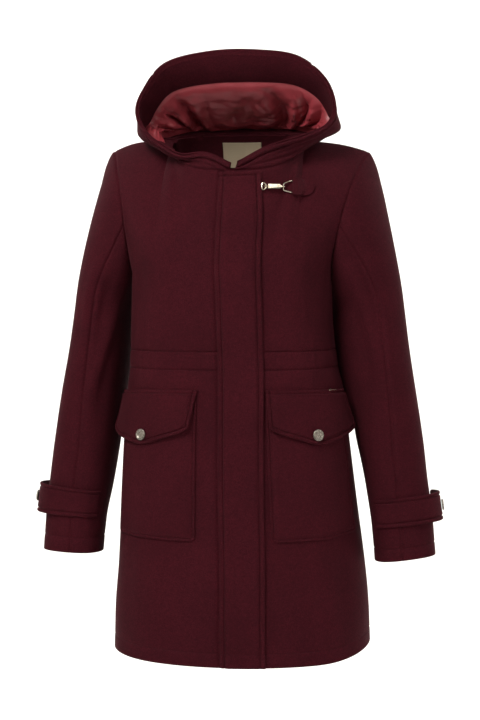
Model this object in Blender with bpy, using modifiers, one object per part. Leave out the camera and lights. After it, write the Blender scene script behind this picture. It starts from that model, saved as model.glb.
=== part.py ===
"""A hooded wool coat in the hollow form it takes when worn.

X runs to the wearer's left, -Y is the front and Z is up. The origin is between the wearer's
shoulders, level with the high points of the shoulder seams, which is where the coat is held up.
Sizes are in millimetres. Each panel is a wall between an outer and an inner grid of points, both
worked out from the sections below, and the panels meet at their seams a small gap apart.
"""

import math

import bmesh
import bpy
import numpy as np
from mathutils import Matrix, Vector

MM = 0.001

# Cloth and seams
WOOL = 2.4
LINING = 1.0
LABEL_THICK = 1.0
GAP = 0.3
ON_TOP = 0.4

# Body sections, from the hem up: z of the level, the centre front, the two side seams, and how far
# the front and the back reach from the side seam.
BODY_COLUMNS = ("z", "centre", "right", "left", "front", "back")
BODY_LEVELS = (
    (-830, 4, -202, 212, 134, 150),
    (-745, 3, -200, 209, 132, 148),
    (-680, 3, -195, 203, 130, 146),
    (-582, 1, -190, 190, 127, 144),
    (-485, 0, -185, 178, 125, 142),
    (-400, 0, -180, 168, 122, 139),
    (-368, -1, -176, 160, 118, 135),
    (-340, -2, -175, 156, 117, 134),
    (-290, -3, -174, 151, 120, 135),
    (-215, -5, -172, 150, 127, 136),
)
SIDE_SEAM_Y = -12.0
BOXINESS = 0.04
HEM_SIDE_Z = -817.0
HEM_FRONT_DIP = 11.0
HEM_BACK_DIP = 4.0
UNDERARM_Z = -215.0
WAIST_DIP = 1.6
WAIST_Z = -354.0
WAIST_HALF = 15.0

# Neckline from the centre front to the high shoulder point and on to the centre back: x, y and z
NECK_FRONT = (
    (0, -121, -60),
    (44, -116, -58),
    (74, -103, -50),
    (92, -80, -38),
    (103, -45, -20),
    (107, 0, -2),
)
NECK_BACK = (
    (107, 0, -2),
    (97, 40, 6),
    (62, 70, 12),
    (0, 82, 14),
)
NECK_SHARE = 0.44
SHOULDER_POINT = (206, 4, -21)

# Handles of the yoke's rising curves: where across the panel, then the pull at the chest and at the top
YOKE_COLUMNS = ("across", "low_x", "low_y", "low_z", "top_x", "top_y", "top_z")
YOKE_FRONT = (
    (0.00, 0, 0, 55, 0, -8, -45),
    (0.22, 0, -3, 55, 0, -12, -45),
    (0.33, 0, -8, 75, 0, -42, -28),
    (0.44, 0, -11, 95, 0, -60, -9),
    (0.70, 2, -45, 65, 0, -72, -18),
    (1.00, -5, -100, 15, -18, -85, -30),
)
YOKE_BACK = (
    (0.00, 0, 8, 70, 0, 35, -25),
    (0.22, 0, 8, 70, 0, 40, -22),
    (0.44, 0, 16, 90, 0, 62, -10),
    (0.70, 2, 45, 70, 0, 72, -16),
    (1.00, -5, 105, 15, -16, 85, -30),
)

# Sleeve sections down the arm: centre, half sizes across and front to back, turn and tilt in degrees
SLEEVE_COLUMNS = ("x", "y", "z", "across", "deep", "turn", "tilt")
LEFT_SLEEVE = (
    (212, 12, -275, 43, 73, 18, 12),
    (221, 9, -340, 44, 71, 19, 9),
    (232, 4, -410, 46, 66, 18, 8),
    (243, -3, -485, 49, 60, 16, 7),
    (253, -11, -550, 48, 55, 14, 7),
    (262, -19, -610, 48, 50, 12, 7),
    (267, -26, -668, 48, 47, 10, 7),
)
RIGHT_SLEEVE = (
    (220, 12, -275, 37, 75, 14, 12),
    (228, 9, -340, 40, 72, 15, 9),
    (239, 4, -410, 44, 67, 15, 8),
    (249, -3, -485, 48, 60, 14, 7),
    (258, -11, -550, 48, 55, 13, 7),
    (265, -19, -604, 47, 50, 12, 7),
    (269, -26, -659, 47, 47, 10, 7),
)
SLEEVE_BOXINESS = 0.03
CAP_START = ((0.00, 8, 0, -60), (0.25, 40, -14, -95), (0.50, 74, 0, -66), (0.75, 40, 14, -95))
CAP_END = ((0.00, 4, 0, -70), (0.25, 14, 0, -170), (0.50, 36, 0, -260), (0.75, 14, 0, -170))

# Hood rim from the wearer's right at the centre front, over the top, to the wearer's left: x, y and z
HOOD_RIM = (
    (0, -123, -52),
    (-39, -120, -34),
    (-79, -113, -37),
    (-110, -103, -21),
    (-138, -92, 1),
    (-154, -78, 36),
    (-148, -66, 72),
    (-112, -54, 117),
    (-39, -46, 139),
    (35, -45, 140),
    (98, -50, 126),
    (143, -62, 87),
    (158, -76, 40),
    (145, -88, 11),
    (114, -98, -6),
    (80, -106, -17),
    (45, -115, -28),
    (8, -123, -50),
)
RIM_TOP = 8.5
RIM_NECK_POINT = 4.0
RIM_END = 17.0
# Handles of the hood's curves from rim to neck seam, by station of the wearer's right half
HOOD_COLUMNS = ("station", "rim_out", "rim_back", "rim_up", "neck_out", "neck_back", "neck_up")
HOOD_HANDLES = (
    (0.0, 0, 2, -3, 0, 0, 3),
    (1.0, 2, 5, -8, 2, 0, 8),
    (2.0, 8, 14, -4, 10, 2, 8),
    (3.0, 22, 24, -2, 20, -8, 8),
    (4.0, 34, 38, 4, 58, 4, 4),
    (5.0, 4, 46, -4, 52, 20, 0),
    (6.0, -12, 50, -27, 44, 42, 14),
    (7.0, -10, 44, -68, 36, 74, 26),
    (8.5, 0, 34, -98, 0, 96, 40),
)
HOOD_END = 0.07
HOOD_SEAM_STEPS = 3

# Inside the hood, by station and by share of the way (w) from the rim to the neck seam
FACING_WIDTH = 56.0
FACING_FRONT_W = 0.8
FRONT_CLEAR = 1.2
LINING_STATION = 3.4
LINING_END_W = 0.87
BAND_STATION = 4.0
BAND_W = (0.90, 0.985)
RIM_CLEAR = 2.8
INSIDE_CLEAR = 4.2
BAND_THICK = 1.6
# The lining's largest folds: where along the rim and back from it, their reach and their depth
PUFF_COLUMNS = ("station", "w", "wide", "tall", "deep")
PUFFS = (
    (5.4, 0.62, 0.9, 0.16, 16),
    (7.3, 0.58, 0.7, 0.15, 8),
    (9.4, 0.62, 0.8, 0.16, 7),
    (11.7, 0.60, 0.8, 0.16, 14),
)
LABEL_X = (-38.0, 27.0)
LABEL_Z = (-35.0, 6.0)

# Fly front
FLY_SEAM = -21.0
FLY_EDGE = 51.0
FLY_EDGE_TOP = 45.0
FLY_TOP_ROW = 1.985
FLY_WIDENING = 0.6
FLY_LIFT = 3.3
FLY_LIFT_RUN = 14.0
UNDERLAP_EDGE = -8.0

# Patch pockets and their flaps, as shares of the front from the centre (0) to the side seam (1)
POCKET_INNER = {-1: 0.165, 1: 0.177}
POCKET_OUTER = 0.785
POCKET_TOP_Z = -413.0
POCKET_BOTTOM_Z = -631.0
POCKET_HEIGHT_AT = 0.475
POCKET_CORNER = 0.3
POCKET_PUFF = 3.0
POCKET_END_CLEAR = 0.2
FLAP_STEPS = 5
FLAP_TOP_Z = -399.5
FLAP_STEP_Z = -410.5
FLAP_TOP_INNER = {-1: 0.160, 1: 0.177}
FLAP_TOP_OUTER = 0.850
FLAP_LOW = (0.215, 0.925)
FLAP_TOP_GAP = 0.8
FLAP_LOW_GAP = 4.0
FLAP_SLOPE = 2.8
# How a flap's ends stand off below: from which share of its length, over what spread, and how far
FLAP_OUTER_LIFT = (0.45, 0.3, 7.0)
FLAP_INNER_LIFT = (0.3, 0.09, 2.0)
FLAP_EDGE = ((0.215, -463), (0.505, -484), (0.925, -463))
FLAP_BUTTON = (0.505, -468.0)
FLAP_BAR = (0.655, -402.5)
FLAP_BAR_SIZE = (20.0, 3.0, 0.8)
FLAP_BAR_GAP = 0.5

# Cuff tabs: the height of each one's middle, then its ends and its button, counted in fourteenths of
# the way round the sleeve. A tab lies flat, rises, and stands off at its free end.
TAB_Z = {-1: -579.0, 1: -593.0}
TAB_HEIGHT = 44.0
TAB_COLUMNS = (1, 8)
TAB_STEP = 0.5
TAB_FLAT = 2.0
TAB_RISE = 3.8
TAB_GAP = 0.7
TAB_STAND = 13.0
TAB_BUTTON_COLUMN = 6.4

# Buttons: the turned profile from the middle of the face to the middle of the back
BUTTON_SEGMENTS = 16
BUTTON_GAP = 0.7
BUTTON_PROFILE = (
    (0.0, 2.1),
    (4.6, 2.0),
    (6.4, 2.6),
    (7.6, 3.2),
    (8.6, 3.0),
    (9.0, 2.2),
    (8.8, 0.8),
    (7.8, 0.0),
    (0.0, 0.0),
)

# Clasp at the neck. Its sizes run along the front from the fly's free edge, up, and out from the cloth
CLASP_Z = -86.0
CLASP_FROM = 47.5
CLASP_GROUND_X = (30.0, 130.0)
CLASP_GROUND_Z = (-106.0, -66.0)
CLASP_GROUND_STEP = 5.0
CLASP_WIRE = 1.0
CLASP_EYE_WIRE = 0.8
CLASP_NOSE_WIRE = 0.9
CLASP_RING = ((-1.8, -5.4, 5.1), (-1.8, 5.4, 5.1), (2.6, 5.0, 5.1), (5.2, 0, 5.1), (2.6, -5.0, 5.1))
CLASP_EYE_RADIUS = 2.4
CLASP_EYE_BACK = 0.7
CLASP_EYE_SEGMENTS = 12
CLASP_BAR = ((7.2, 3.4), (23.0, 3.4), (27.0, 0.4), (27.0, -0.4), (23.0, -3.4), (7.2, -3.4))
CLASP_BAR_LOW = 5.2
CLASP_BAR_HIGH = 7.2
CLASP_NOSE = ((24, 0, 6.0), (29.5, 0, 6.0), (31.6, 0, 5.2), (32.2, 0, 3.8), (31.6, 0, 2.4), (29.5, 0, 1.6),
              (26.5, 0, 1.6))
CLASP_LOOP = ((29.6, -4.6, 3.8), (29.6, 4.6, 3.8), (31.4, 6.2, 3.8), (41, 9.6, 2.9), (48, 10.4, 2.0),
              (49.6, 9.0, 1.9), (49.6, -8.4, 1.9), (48, -9.6, 2.0), (41, -8.4, 2.9), (31.4, -6.0, 3.8))
# The wool tab over the loop: where it starts and where its round end springs from, and its half height
CLASP_TAB = (44.0, 64.5, 13.0)
# Its gap to the front beyond the loop and over it, and where along it the gap falls and how far on
CLASP_TAB_GAP = (1.0, 4.3)
CLASP_TAB_FALL = (0.42, 0.3)
CLASP_TAB_STEPS = 7

# Grid steps
NECK_STEPS = 7
SHOULDER_STEPS = 6
LOW_STEPS = 17
YOKE_STEPS = 7
CAP_STEPS = 6
SLEEVE_STEPS = 10
HOOD_STEPS = 9
SLEEVE_SEAM = 3
FLY_STEPS = (10.0, 30.0)
FACING_SHARES = (0, 1 / 3, 2 / 3, 1)
LINING_ROWS = 7
LINING_START = 0.04
LABEL_ROWS = 4
LABEL_COLUMNS = 5
STOP_CLEAR = 0.25
SMOOTH_ANGLE = 40.0
WELD = 1e-6
# Searches for a place on the body: a half width and a height that each step is measured against
FIND_HALF = 240.0
FIND_REACH = 320.0
FIND_TURNS = 40
SEARCH_ROWS = 81
SEARCH_COLUMNS = 161
COLLECTION = "Hooded wool coat"


# curves


def smooth_between(xs, ys, x):
    """The smooth curve through (xs, ys), read at x. The ys may be points."""
    xs = np.asarray(xs, float)
    ys = np.asarray(ys, float)
    x = min(max(x, xs[0]), xs[-1])
    i = int(min(max(np.searchsorted(xs, x) - 1, 0), len(xs) - 2))
    slopes = []
    for k in (i, i + 1):
        a, b = max(k - 1, 0), min(k + 1, len(xs) - 1)
        slopes.append((ys[b] - ys[a]) / (xs[b] - xs[a]))
    step = xs[i + 1] - xs[i]
    t = (x - xs[i]) / step
    return (
        (2 * t**3 - 3 * t**2 + 1) * ys[i]
        + (t**3 - 2 * t**2 + t) * step * slopes[0]
        + (3 * t**2 - 2 * t**3) * ys[i + 1]
        + (t**3 - t**2) * step * slopes[1]
    )


def table_row(columns, rows, key, value):
    """The table's other columns, read at the value of its key column, as a dictionary."""
    at = columns.index(key)
    ordered = sorted(rows, key=lambda row: row[at])
    values = smooth_between([row[at] for row in ordered], ordered, value)
    return dict(zip(columns, values))


def along(points, t):
    """The smooth curve through the points, t counting them from 0."""
    return smooth_between(range(len(points)), points, t)


def bezier(a, b, c, d, t):
    s = 1 - t
    return s**3 * a + 3 * s * s * t * b + 3 * s * t * t * c + t**3 * d


def unit(vector):
    return vector / max(np.linalg.norm(vector), 1e-9)


def ease(t):
    t = min(max(t, 0.0), 1.0)
    return t * t * (3 - 2 * t)


def mirrored(point, side):
    return np.array([point[0] * side, point[1], point[2]], float)


# body surface


def section_point(angle, z, side, face):
    """A point of the body's section at height z. The angle is 0 at the centre and a right angle at
    the side seam, side is -1 for the wearer's right, and face is -1 for the front."""
    level = table_row(BODY_COLUMNS, BODY_LEVELS, "z", z)
    seam = level["left"] if side > 0 else level["right"]
    reach = level["front"] if face < 0 else level["back"]
    gather = WAIST_DIP * math.exp(-(((z - WAIST_Z) / WAIST_HALF) ** 2))
    across = (1 + BOXINESS) * math.sin(angle) + BOXINESS * math.sin(3 * angle)
    deep = (1 + BOXINESS) * math.cos(angle) - BOXINESS * math.cos(3 * angle)
    x = level["centre"] + (seam - level["centre"]) * across
    y = SIDE_SEAM_Y + face * (reach - gather) * deep
    return np.array([x, y, z])


def hem_z(u, face):
    dip = HEM_FRONT_DIP if face < 0 else HEM_BACK_DIP
    return HEM_SIDE_Z - dip * math.cos(u * math.pi / 2) ** 2


def top_edge(u, face):
    """The neckline, then the shoulder seam, for u from 0 at the centre to 1 at the shoulder point."""
    if u <= NECK_SHARE:
        share = u / NECK_SHARE
        if face < 0:
            return along(NECK_FRONT, share * (len(NECK_FRONT) - 1))
        return along(NECK_BACK, (1 - share) * (len(NECK_BACK) - 1))
    share = (u - NECK_SHARE) / (1 - NECK_SHARE)
    start = np.array(NECK_FRONT[-1], float)
    return start + (np.array(SHOULDER_POINT, float) - start) * share


def body_point(u, v, face):
    """The coat's outer surface. u runs from -1 at the wearer's right side, through 0 at the
    centre, to 1; v from 0 at the hem to 1 at the underarm and 2 at the neck and shoulder."""
    side = 1 if u >= 0 else -1
    angle = abs(u) * math.pi / 2
    if v <= 1:
        low = hem_z(u, face)
        return section_point(angle, low + (UNDERARM_Z - low) * v, side, face)
    chest = section_point(angle, UNDERARM_Z, side, face)
    top = mirrored(top_edge(abs(u), face), side)
    yoke = table_row(YOKE_COLUMNS, YOKE_FRONT if face < 0 else YOKE_BACK, "across", abs(u))
    low_pull = mirrored((yoke["low_x"], yoke["low_y"], yoke["low_z"]), side)
    top_pull = mirrored((yoke["top_x"], yoke["top_y"], yoke["top_z"]), side)
    return bezier(chest, chest + low_pull, top + top_pull, top, v - 1)


def height_to_v(u, z, face=-1):
    low = hem_z(u, face)
    return (z - low) / (UNDERARM_Z - low)


def fly_u(x, v):
    """Where across the front the line x from the centre front lies, at row v."""
    side = 1 if x >= 0 else -1
    low, high = 0.0, 0.6
    for _ in range(24):
        mid = (low + high) / 2
        if side * (body_point(side * mid, v, -1)[0] - body_point(0, v, -1)[0]) < abs(x):
            low = mid
        else:
            high = mid
    return side * low


# sleeve and hood surfaces


def armhole_point(k, side):
    """The armhole, for k from 0 at the underarm, up the front, over the shoulder at 0.5 and down
    the back to 1."""
    if k <= 0.5:
        return body_point(side, 1 + 2 * k, -1)
    return body_point(side, 3 - 2 * k, 1)


def sleeve_ring(row, k, side):
    angle = 2 * math.pi * k
    box = SLEEVE_BOXINESS
    across = -((1 + box) * math.cos(angle) - box * math.cos(3 * angle)) * row["across"]
    deep = -((1 + box) * math.sin(angle) + box * math.sin(3 * angle)) * row["deep"]
    turn = math.radians(row["turn"])
    x = across * math.cos(turn) - deep * math.sin(turn)
    y = across * math.sin(turn) + deep * math.cos(turn)
    z = row["z"] + x * math.tan(math.radians(row["tilt"]))
    return mirrored((row["x"] + x, row["y"] + y, z), side)


def around(rows, k):
    """Pulls listed around a ring, read at k."""
    closed = list(rows) + [(1.0, *rows[0][1:])]
    before = (rows[-1][0] - 1.0, *rows[-1][1:])
    after = (1.0 + rows[1][0], *rows[1][1:])
    closed = [before, *closed, after]
    return smooth_between([row[0] for row in closed], [row[1:] for row in closed], k)


def sleeve_point(k, v, side):
    """The sleeve's outer surface, v from 0 at the armhole to 1 at the end of the sleeve cap and 2
    at the cuff."""
    rows = LEFT_SLEEVE if side > 0 else RIGHT_SLEEVE
    if v <= 1:
        first = dict(zip(SLEEVE_COLUMNS, rows[0]))
        start, end = armhole_point(k, side), sleeve_ring(first, k, side)
        pull_start = mirrored(around(CAP_START, k), side)
        pull_end = mirrored(around(CAP_END, k), side)
        return bezier(start, start + pull_start / 3, end - pull_end / 3, end, v)
    tallest, lowest = rows[0][2], rows[-1][2]
    z = tallest + (lowest - tallest) * (v - 1)
    return sleeve_ring(table_row(SLEEVE_COLUMNS, rows, "z", z), k, side)


def neck_seam(station):
    """The neckline point that a station of the hood is sewn to."""
    side = -1 if station <= RIM_TOP else 1
    half = station if side < 0 else RIM_END - station
    if half <= RIM_NECK_POINT:
        share = half / RIM_NECK_POINT
        point = along(NECK_FRONT, share * (len(NECK_FRONT) - 1))
    else:
        share = (half - RIM_NECK_POINT) / (RIM_TOP - RIM_NECK_POINT)
        point = along(NECK_BACK, share * (len(NECK_BACK) - 1))
    return mirrored(point, side)


def hood_point(station, w):
    """The hood's outer surface, w from 0 at the rim to 1 at the neck seam."""
    side = -1 if station <= RIM_TOP else 1
    half = station if side < 0 else RIM_END - station
    rim, neck = along(HOOD_RIM, station), neck_seam(station)
    row = table_row(HOOD_COLUMNS, HOOD_HANDLES, "station", half)
    rim_pull = mirrored((row["rim_out"], row["rim_back"], row["rim_up"]), side)
    neck_pull = mirrored((row["neck_out"], row["neck_back"], row["neck_up"]), side)
    return bezier(rim, rim + rim_pull, neck + neck_pull, neck, w)


# grids and panels


def normals_of(grid):
    """Unit normals of a grid of points, rows by columns."""
    found = np.cross(np.gradient(grid, axis=1), np.gradient(grid, axis=0))
    return found / np.maximum(np.linalg.norm(found, axis=2, keepdims=True), 1e-9)


class Panel:
    """A panel of cloth: its grid of outer points and the directions its thickness is laid off."""

    def __init__(self, rows, outward):
        self.grid = np.array(rows, float)
        self.normals = normals_of(self.grid)
        middle = self.normals[len(self.grid) // 2, self.grid.shape[1] // 2]
        if np.dot(middle, outward) < 0:
            self.normals = -self.normals

    def border(self):
        rows, columns = self.grid.shape[:2]
        for i in range(rows):
            for j in range(columns):
                if i in (0, rows - 1) or j in (0, columns - 1):
                    yield i, j

    def edge(self, name):
        """Each point of an edge, with the step that leads inwards from it."""
        rows, columns = self.grid.shape[:2]
        if name in ("low", "high"):
            i, step = (0, 1) if name == "low" else (rows - 1, -1)
            return [((i, j), (i + step, j)) for j in range(columns)]
        j, step = (0, 1) if name == "start" else (columns - 1, -1)
        return [((i, j), (i, j + step)) for i in range(rows)]

    def at(self, i, j):
        """The point and normal at row i and column j, which may lie between the grid's own."""
        rows, columns = self.grid.shape[:2]
        low_i, low_j = min(int(i), rows - 2), min(int(j), columns - 2)
        s, t = i - low_i, j - low_j
        found = []
        for field in (self.grid, self.normals):
            near = field[low_i, low_j] * (1 - t) + field[low_i, low_j + 1] * t
            far = field[low_i + 1, low_j] * (1 - t) + field[low_i + 1, low_j + 1] * t
            found.append(near * (1 - s) + far * s)
        return found[0], unit(found[1])

    def patch(self, places):
        """A panel that lies on this one, at rows of places: each a row and a column of its grid."""
        found = [[self.at(i, j) for i, j in row] for row in places]
        piece = Panel([[point for point, _ in row] for row in found], found[0][0][1])
        piece.normals = np.array([[normal for _, normal in row] for row in found])
        return piece


def join_seams(panels):
    """Gives panels the same thickness direction at each point that they share, so that their walls
    meet on a mitre."""
    shared = {}
    for panel in panels:
        for at in panel.border():
            key = tuple(np.round(panel.grid[at], 2))
            shared.setdefault(key, []).append((panel, at))
    for users in shared.values():
        total = unit(sum(panel.normals[at] for panel, at in users))
        for panel, at in users:
            panel.normals[at] = total


def draw_back(panel, *names, by=GAP / 2):
    """Draws edges back from their seam lines, square to the seam's mitre."""
    for name in names:
        moved = {}
        for at, inside in panel.edge(name):
            inward = panel.grid[inside] - panel.grid[at]
            normal = panel.normals[at]
            inward = unit(inward - normal * np.dot(inward, normal))
            moved[at] = panel.grid[at] + inward * by
        for at, point in moved.items():
            panel.grid[at] = point


def inner_stops(starts, ends, step=1.0):
    """The stops, a step apart and on the panel's own lines, that lie inside every start and end."""
    low, high = math.ceil(max(starts) + STOP_CLEAR), math.floor(min(ends) - STOP_CLEAR)
    return [float(stop) for stop in np.arange(low, high + step / 2, step)]


# meshes


def wall_faces(rows, columns):
    """The faces of a wall between two grids, numbered outer first and then inner."""
    def outer(i, j):
        return i * columns + j

    def inner(i, j):
        return rows * columns + i * columns + j

    faces = []
    for i in range(rows - 1):
        for j in range(columns - 1):
            faces.append((outer(i, j), outer(i, j + 1), outer(i + 1, j + 1), outer(i + 1, j)))
            faces.append((inner(i, j), inner(i + 1, j), inner(i + 1, j + 1), inner(i, j + 1)))
    top, side = rows - 1, columns - 1
    for j in range(columns - 1):
        faces.append((outer(0, j), inner(0, j), inner(0, j + 1), outer(0, j + 1)))
        faces.append((outer(top, j), outer(top, j + 1), inner(top, j + 1), inner(top, j)))
    for i in range(rows - 1):
        faces.append((outer(i, 0), outer(i + 1, 0), inner(i + 1, 0), inner(i, 0)))
        faces.append((outer(i, side), inner(i, side), inner(i + 1, side), outer(i + 1, side)))
    return faces


def add_object(name, mesh, material):
    mesh.name = name
    mesh.shade_smooth()
    mesh.set_sharp_from_angle(angle=math.radians(SMOOTH_ANGLE))
    mesh.materials.clear()
    mesh.materials.append(material)
    placed = bpy.data.objects.new(name, mesh)
    bpy.data.collections[COLLECTION].objects.link(placed)
    return placed


def face_out(mesh):
    shape = bmesh.new()
    shape.from_mesh(mesh)
    bmesh.ops.triangulate(shape, faces=shape.faces[:])
    bmesh.ops.recalc_face_normals(shape, faces=shape.faces[:])
    if shape.calc_volume(signed=True) < 0:
        bmesh.ops.reverse_faces(shape, faces=shape.faces[:])
    shape.to_mesh(mesh)
    shape.free()


def wall(name, outer, inner, material):
    """A closed wall between an outer and an inner grid of points in millimetres."""
    points = np.vstack([outer.reshape(-1, 3), inner.reshape(-1, 3)]) * MM
    mesh = bpy.data.meshes.new(name)
    mesh.from_pydata(points.tolist(), [], wall_faces(*outer.shape[:2]))
    face_out(mesh)
    return add_object(name, mesh, material)


def panel_wall(name, panel, material, thick=WOOL):
    """A panel whose outer face is its own surface."""
    return wall(name, panel.grid, panel.grid - panel.normals * thick, material)


def laid_wall(name, panel, material, gap, thick=WOOL):
    """A piece that lies on a panel. The gap to it is one size, or one for each point."""
    gap = np.asarray(gap, float)
    if gap.ndim:
        gap = gap[:, :, None]
    inner = panel.grid + panel.normals * gap
    return wall(name, inner + panel.normals * thick, inner, material)


def lined_wall(name, panel, material, depth, thick):
    """A piece that lies inside a panel, with its outer face at the depth given."""
    depth = np.asarray(depth, float)
    if depth.ndim:
        depth = depth[:, :, None]
    outer = panel.grid - panel.normals * depth
    return wall(name, outer, outer - panel.normals * thick, material)


def made_mesh(helper):
    """The mesh that a helper object evaluates to, welded and facing out. The helper is removed."""
    bpy.context.scene.collection.objects.link(helper)
    graph = bpy.context.evaluated_depsgraph_get()
    mesh = bpy.data.meshes.new_from_object(helper.evaluated_get(graph))
    bpy.data.objects.remove(helper, do_unlink=True)
    shape = bmesh.new()
    shape.from_mesh(mesh)
    bmesh.ops.remove_doubles(shape, verts=shape.verts[:], dist=WELD)
    shape.to_mesh(mesh)
    shape.free()
    face_out(mesh)
    return mesh


def tube_mesh(points, radius, closed):
    """A round wire through points in metres."""
    curve = bpy.data.curves.new("wire", "CURVE")
    curve.dimensions = "3D"
    curve.bevel_depth = radius
    curve.bevel_resolution = 2
    curve.use_fill_caps = not closed
    spline = curve.splines.new("POLY")
    spline.points.add(len(points) - 1)
    for target, point in zip(spline.points, points, strict=True):
        target.co = (*point, 1.0)
    spline.use_cyclic_u = closed
    return made_mesh(bpy.data.objects.new("wire", curve))


def flat_mesh(outline, low, high):
    """A flat piece from its outline in millimetres and its lower and upper heights."""
    curve = bpy.data.curves.new("flat", "CURVE")
    curve.dimensions = "2D"
    curve.fill_mode = "BOTH"
    curve.extrude = (high - low) / 2 * MM
    spline = curve.splines.new("POLY")
    spline.points.add(len(outline) - 1)
    for target, (x, y) in zip(spline.points, outline, strict=True):
        target.co = (x * MM, y * MM, 0.0, 1.0)
    spline.use_cyclic_u = True
    mesh = made_mesh(bpy.data.objects.new("flat", curve))
    mesh.transform(Matrix.Translation((0, 0, (low + high) / 2 * MM)))
    return mesh


def turned_mesh(profile, segments):
    """A turned shape about Z from (radius, height) pairs in millimetres, from top to bottom."""
    mesh = bpy.data.meshes.new("turned")
    points = [(radius * MM, 0.0, height * MM) for radius, height in profile]
    mesh.from_pydata(points, [(i, i + 1) for i in range(len(points) - 1)], [])
    helper = bpy.data.objects.new("turned", mesh)
    screw = helper.modifiers.new("Turn", "SCREW")
    screw.steps = segments
    screw.render_steps = segments
    screw.use_merge_vertices = True
    screw.merge_threshold = WELD
    return made_mesh(helper)


def union_mesh(name, first, others):
    """One mesh from several that overlap, joined by Boolean unions."""
    helper = bpy.data.objects.new(name, first)
    bpy.context.scene.collection.objects.link(helper)
    joined = []
    for other in others:
        piece = bpy.data.objects.new(name + "_part", other)
        bpy.context.scene.collection.objects.link(piece)
        boolean = helper.modifiers.new("Join", "BOOLEAN")
        boolean.operation = "UNION"
        boolean.object = piece
        joined.append(piece)
    graph = bpy.context.evaluated_depsgraph_get()
    made = bpy.data.meshes.new_from_object(helper.evaluated_get(graph))
    for thing in (helper, *joined):
        bpy.data.objects.remove(thing, do_unlink=True)
    return made


def plain_material(name, colour, roughness, metallic=0.0):
    material = bpy.data.materials.new(name)
    material.use_nodes = True
    material.diffuse_color = (*colour, 1.0)
    shader = material.node_tree.nodes["Principled BSDF"]
    shader.inputs["Base Color"].default_value = (*colour, 1.0)
    shader.inputs["Roughness"].default_value = roughness
    shader.inputs["Metallic"].default_value = metallic
    return material


# body and sleeves


def clear_scene():
    for thing in list(bpy.data.objects):
        bpy.data.objects.remove(thing, do_unlink=True)
    group = bpy.data.collections.new(COLLECTION)
    bpy.context.scene.collection.children.link(group)


def body_rows():
    low = np.linspace(0, 1, LOW_STEPS + 1)
    return np.concatenate([low, np.linspace(1, 2, YOKE_STEPS + 1)[1:]])


def shoulder_columns():
    return np.linspace(NECK_SHARE, 1.0, SHOULDER_STEPS + 1)[1:]


def right_columns(v):
    neck = np.linspace(-fly_u(FLY_SEAM, v), NECK_SHARE, NECK_STEPS + 1)
    return -np.concatenate([neck, shoulder_columns()])


def left_columns(v):
    neck = np.linspace(0, NECK_SHARE, NECK_STEPS + 1)
    return np.concatenate([[fly_u(UNDERLAP_EDGE, v)], neck, shoulder_columns()])


def back_columns(_v):
    half = np.concatenate([np.linspace(0, NECK_SHARE, NECK_STEPS + 1), shoulder_columns()])
    return np.concatenate([-half[::-1], half[1:]])


def body_panel(columns, face):
    return Panel([[body_point(u, v, face) for u in columns(v)] for v in body_rows()], (0, face, 0))


def place_on(columns, u, v):
    """The row and the column of a body panel's grid at u and v, which may fall between its own."""
    row = v * LOW_STEPS if v <= 1 else LOW_STEPS + (v - 1) * YOKE_STEPS
    us = np.array(columns(v))
    turn = 1 if us[-1] > us[0] else -1
    return row, float(np.interp(u * turn, us * turn, range(len(us))))


def find_place(x, z, face):
    """Where on the body, above the underarm, the point at x and z lies: its u and v."""
    side = 1 if x >= 0 else -1
    u, v = abs(x) / FIND_HALF, 1.5
    for _ in range(FIND_TURNS):
        point = body_point(side * u, v, face)
        u = min(max(u + (abs(x) - side * point[0]) / FIND_REACH, 0.0), 1.0)
        v = min(max(v + (z - point[2]) / FIND_HALF, 1.0), 2.0)
    return side * u, v


def fly_panel():
    """The fly front, which is sewn to the wearer's right front and laps over the left one."""
    rows = [*body_rows()[:-1], FLY_TOP_ROW]
    points, lifts = [], []
    for v in rows:
        edge = FLY_EDGE_TOP + (FLY_EDGE - FLY_EDGE_TOP) * ease((2 - v) / FLY_WIDENING)
        xs = (FLY_SEAM, FLY_SEAM + FLY_LIFT_RUN / 2, FLY_SEAM + FLY_LIFT_RUN, *FLY_STEPS, edge)
        points.append([body_point(fly_u(x, v), v, -1) for x in xs])
        lifts.append([FLY_LIFT * ease((x - FLY_SEAM) / FLY_LIFT_RUN) for x in xs])
    panel = Panel(points, (0, -1, 0))
    panel.grid = panel.grid + panel.normals * np.array(lifts)[:, :, None]
    return panel


def whole_sleeve(side):
    steps = 2 * YOKE_STEPS
    cap = np.linspace(0, 1, CAP_STEPS + 1)
    rows = np.concatenate([cap, np.linspace(1, 2, SLEEVE_STEPS + 1)[1:]])
    ks = [(k % steps) / steps for k in range(-SLEEVE_SEAM, steps + SLEEVE_SEAM + 1)]
    return Panel([[sleeve_point(k, v, side) for k in ks] for v in rows], (side, 0, 0))


def sleeve_panels(sleeve, side):
    """The upper and the under sleeve. The seams run down the front and the back of the arm."""
    under = Panel(sleeve.grid[:, : 2 * SLEEVE_SEAM + 1], (-side, 0, 0))
    upper = Panel(sleeve.grid[:, 2 * SLEEVE_SEAM : 2 * YOKE_STEPS + 1], (side, 0, 0))
    return upper, under


# pockets, flaps, tabs and buttons


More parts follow.
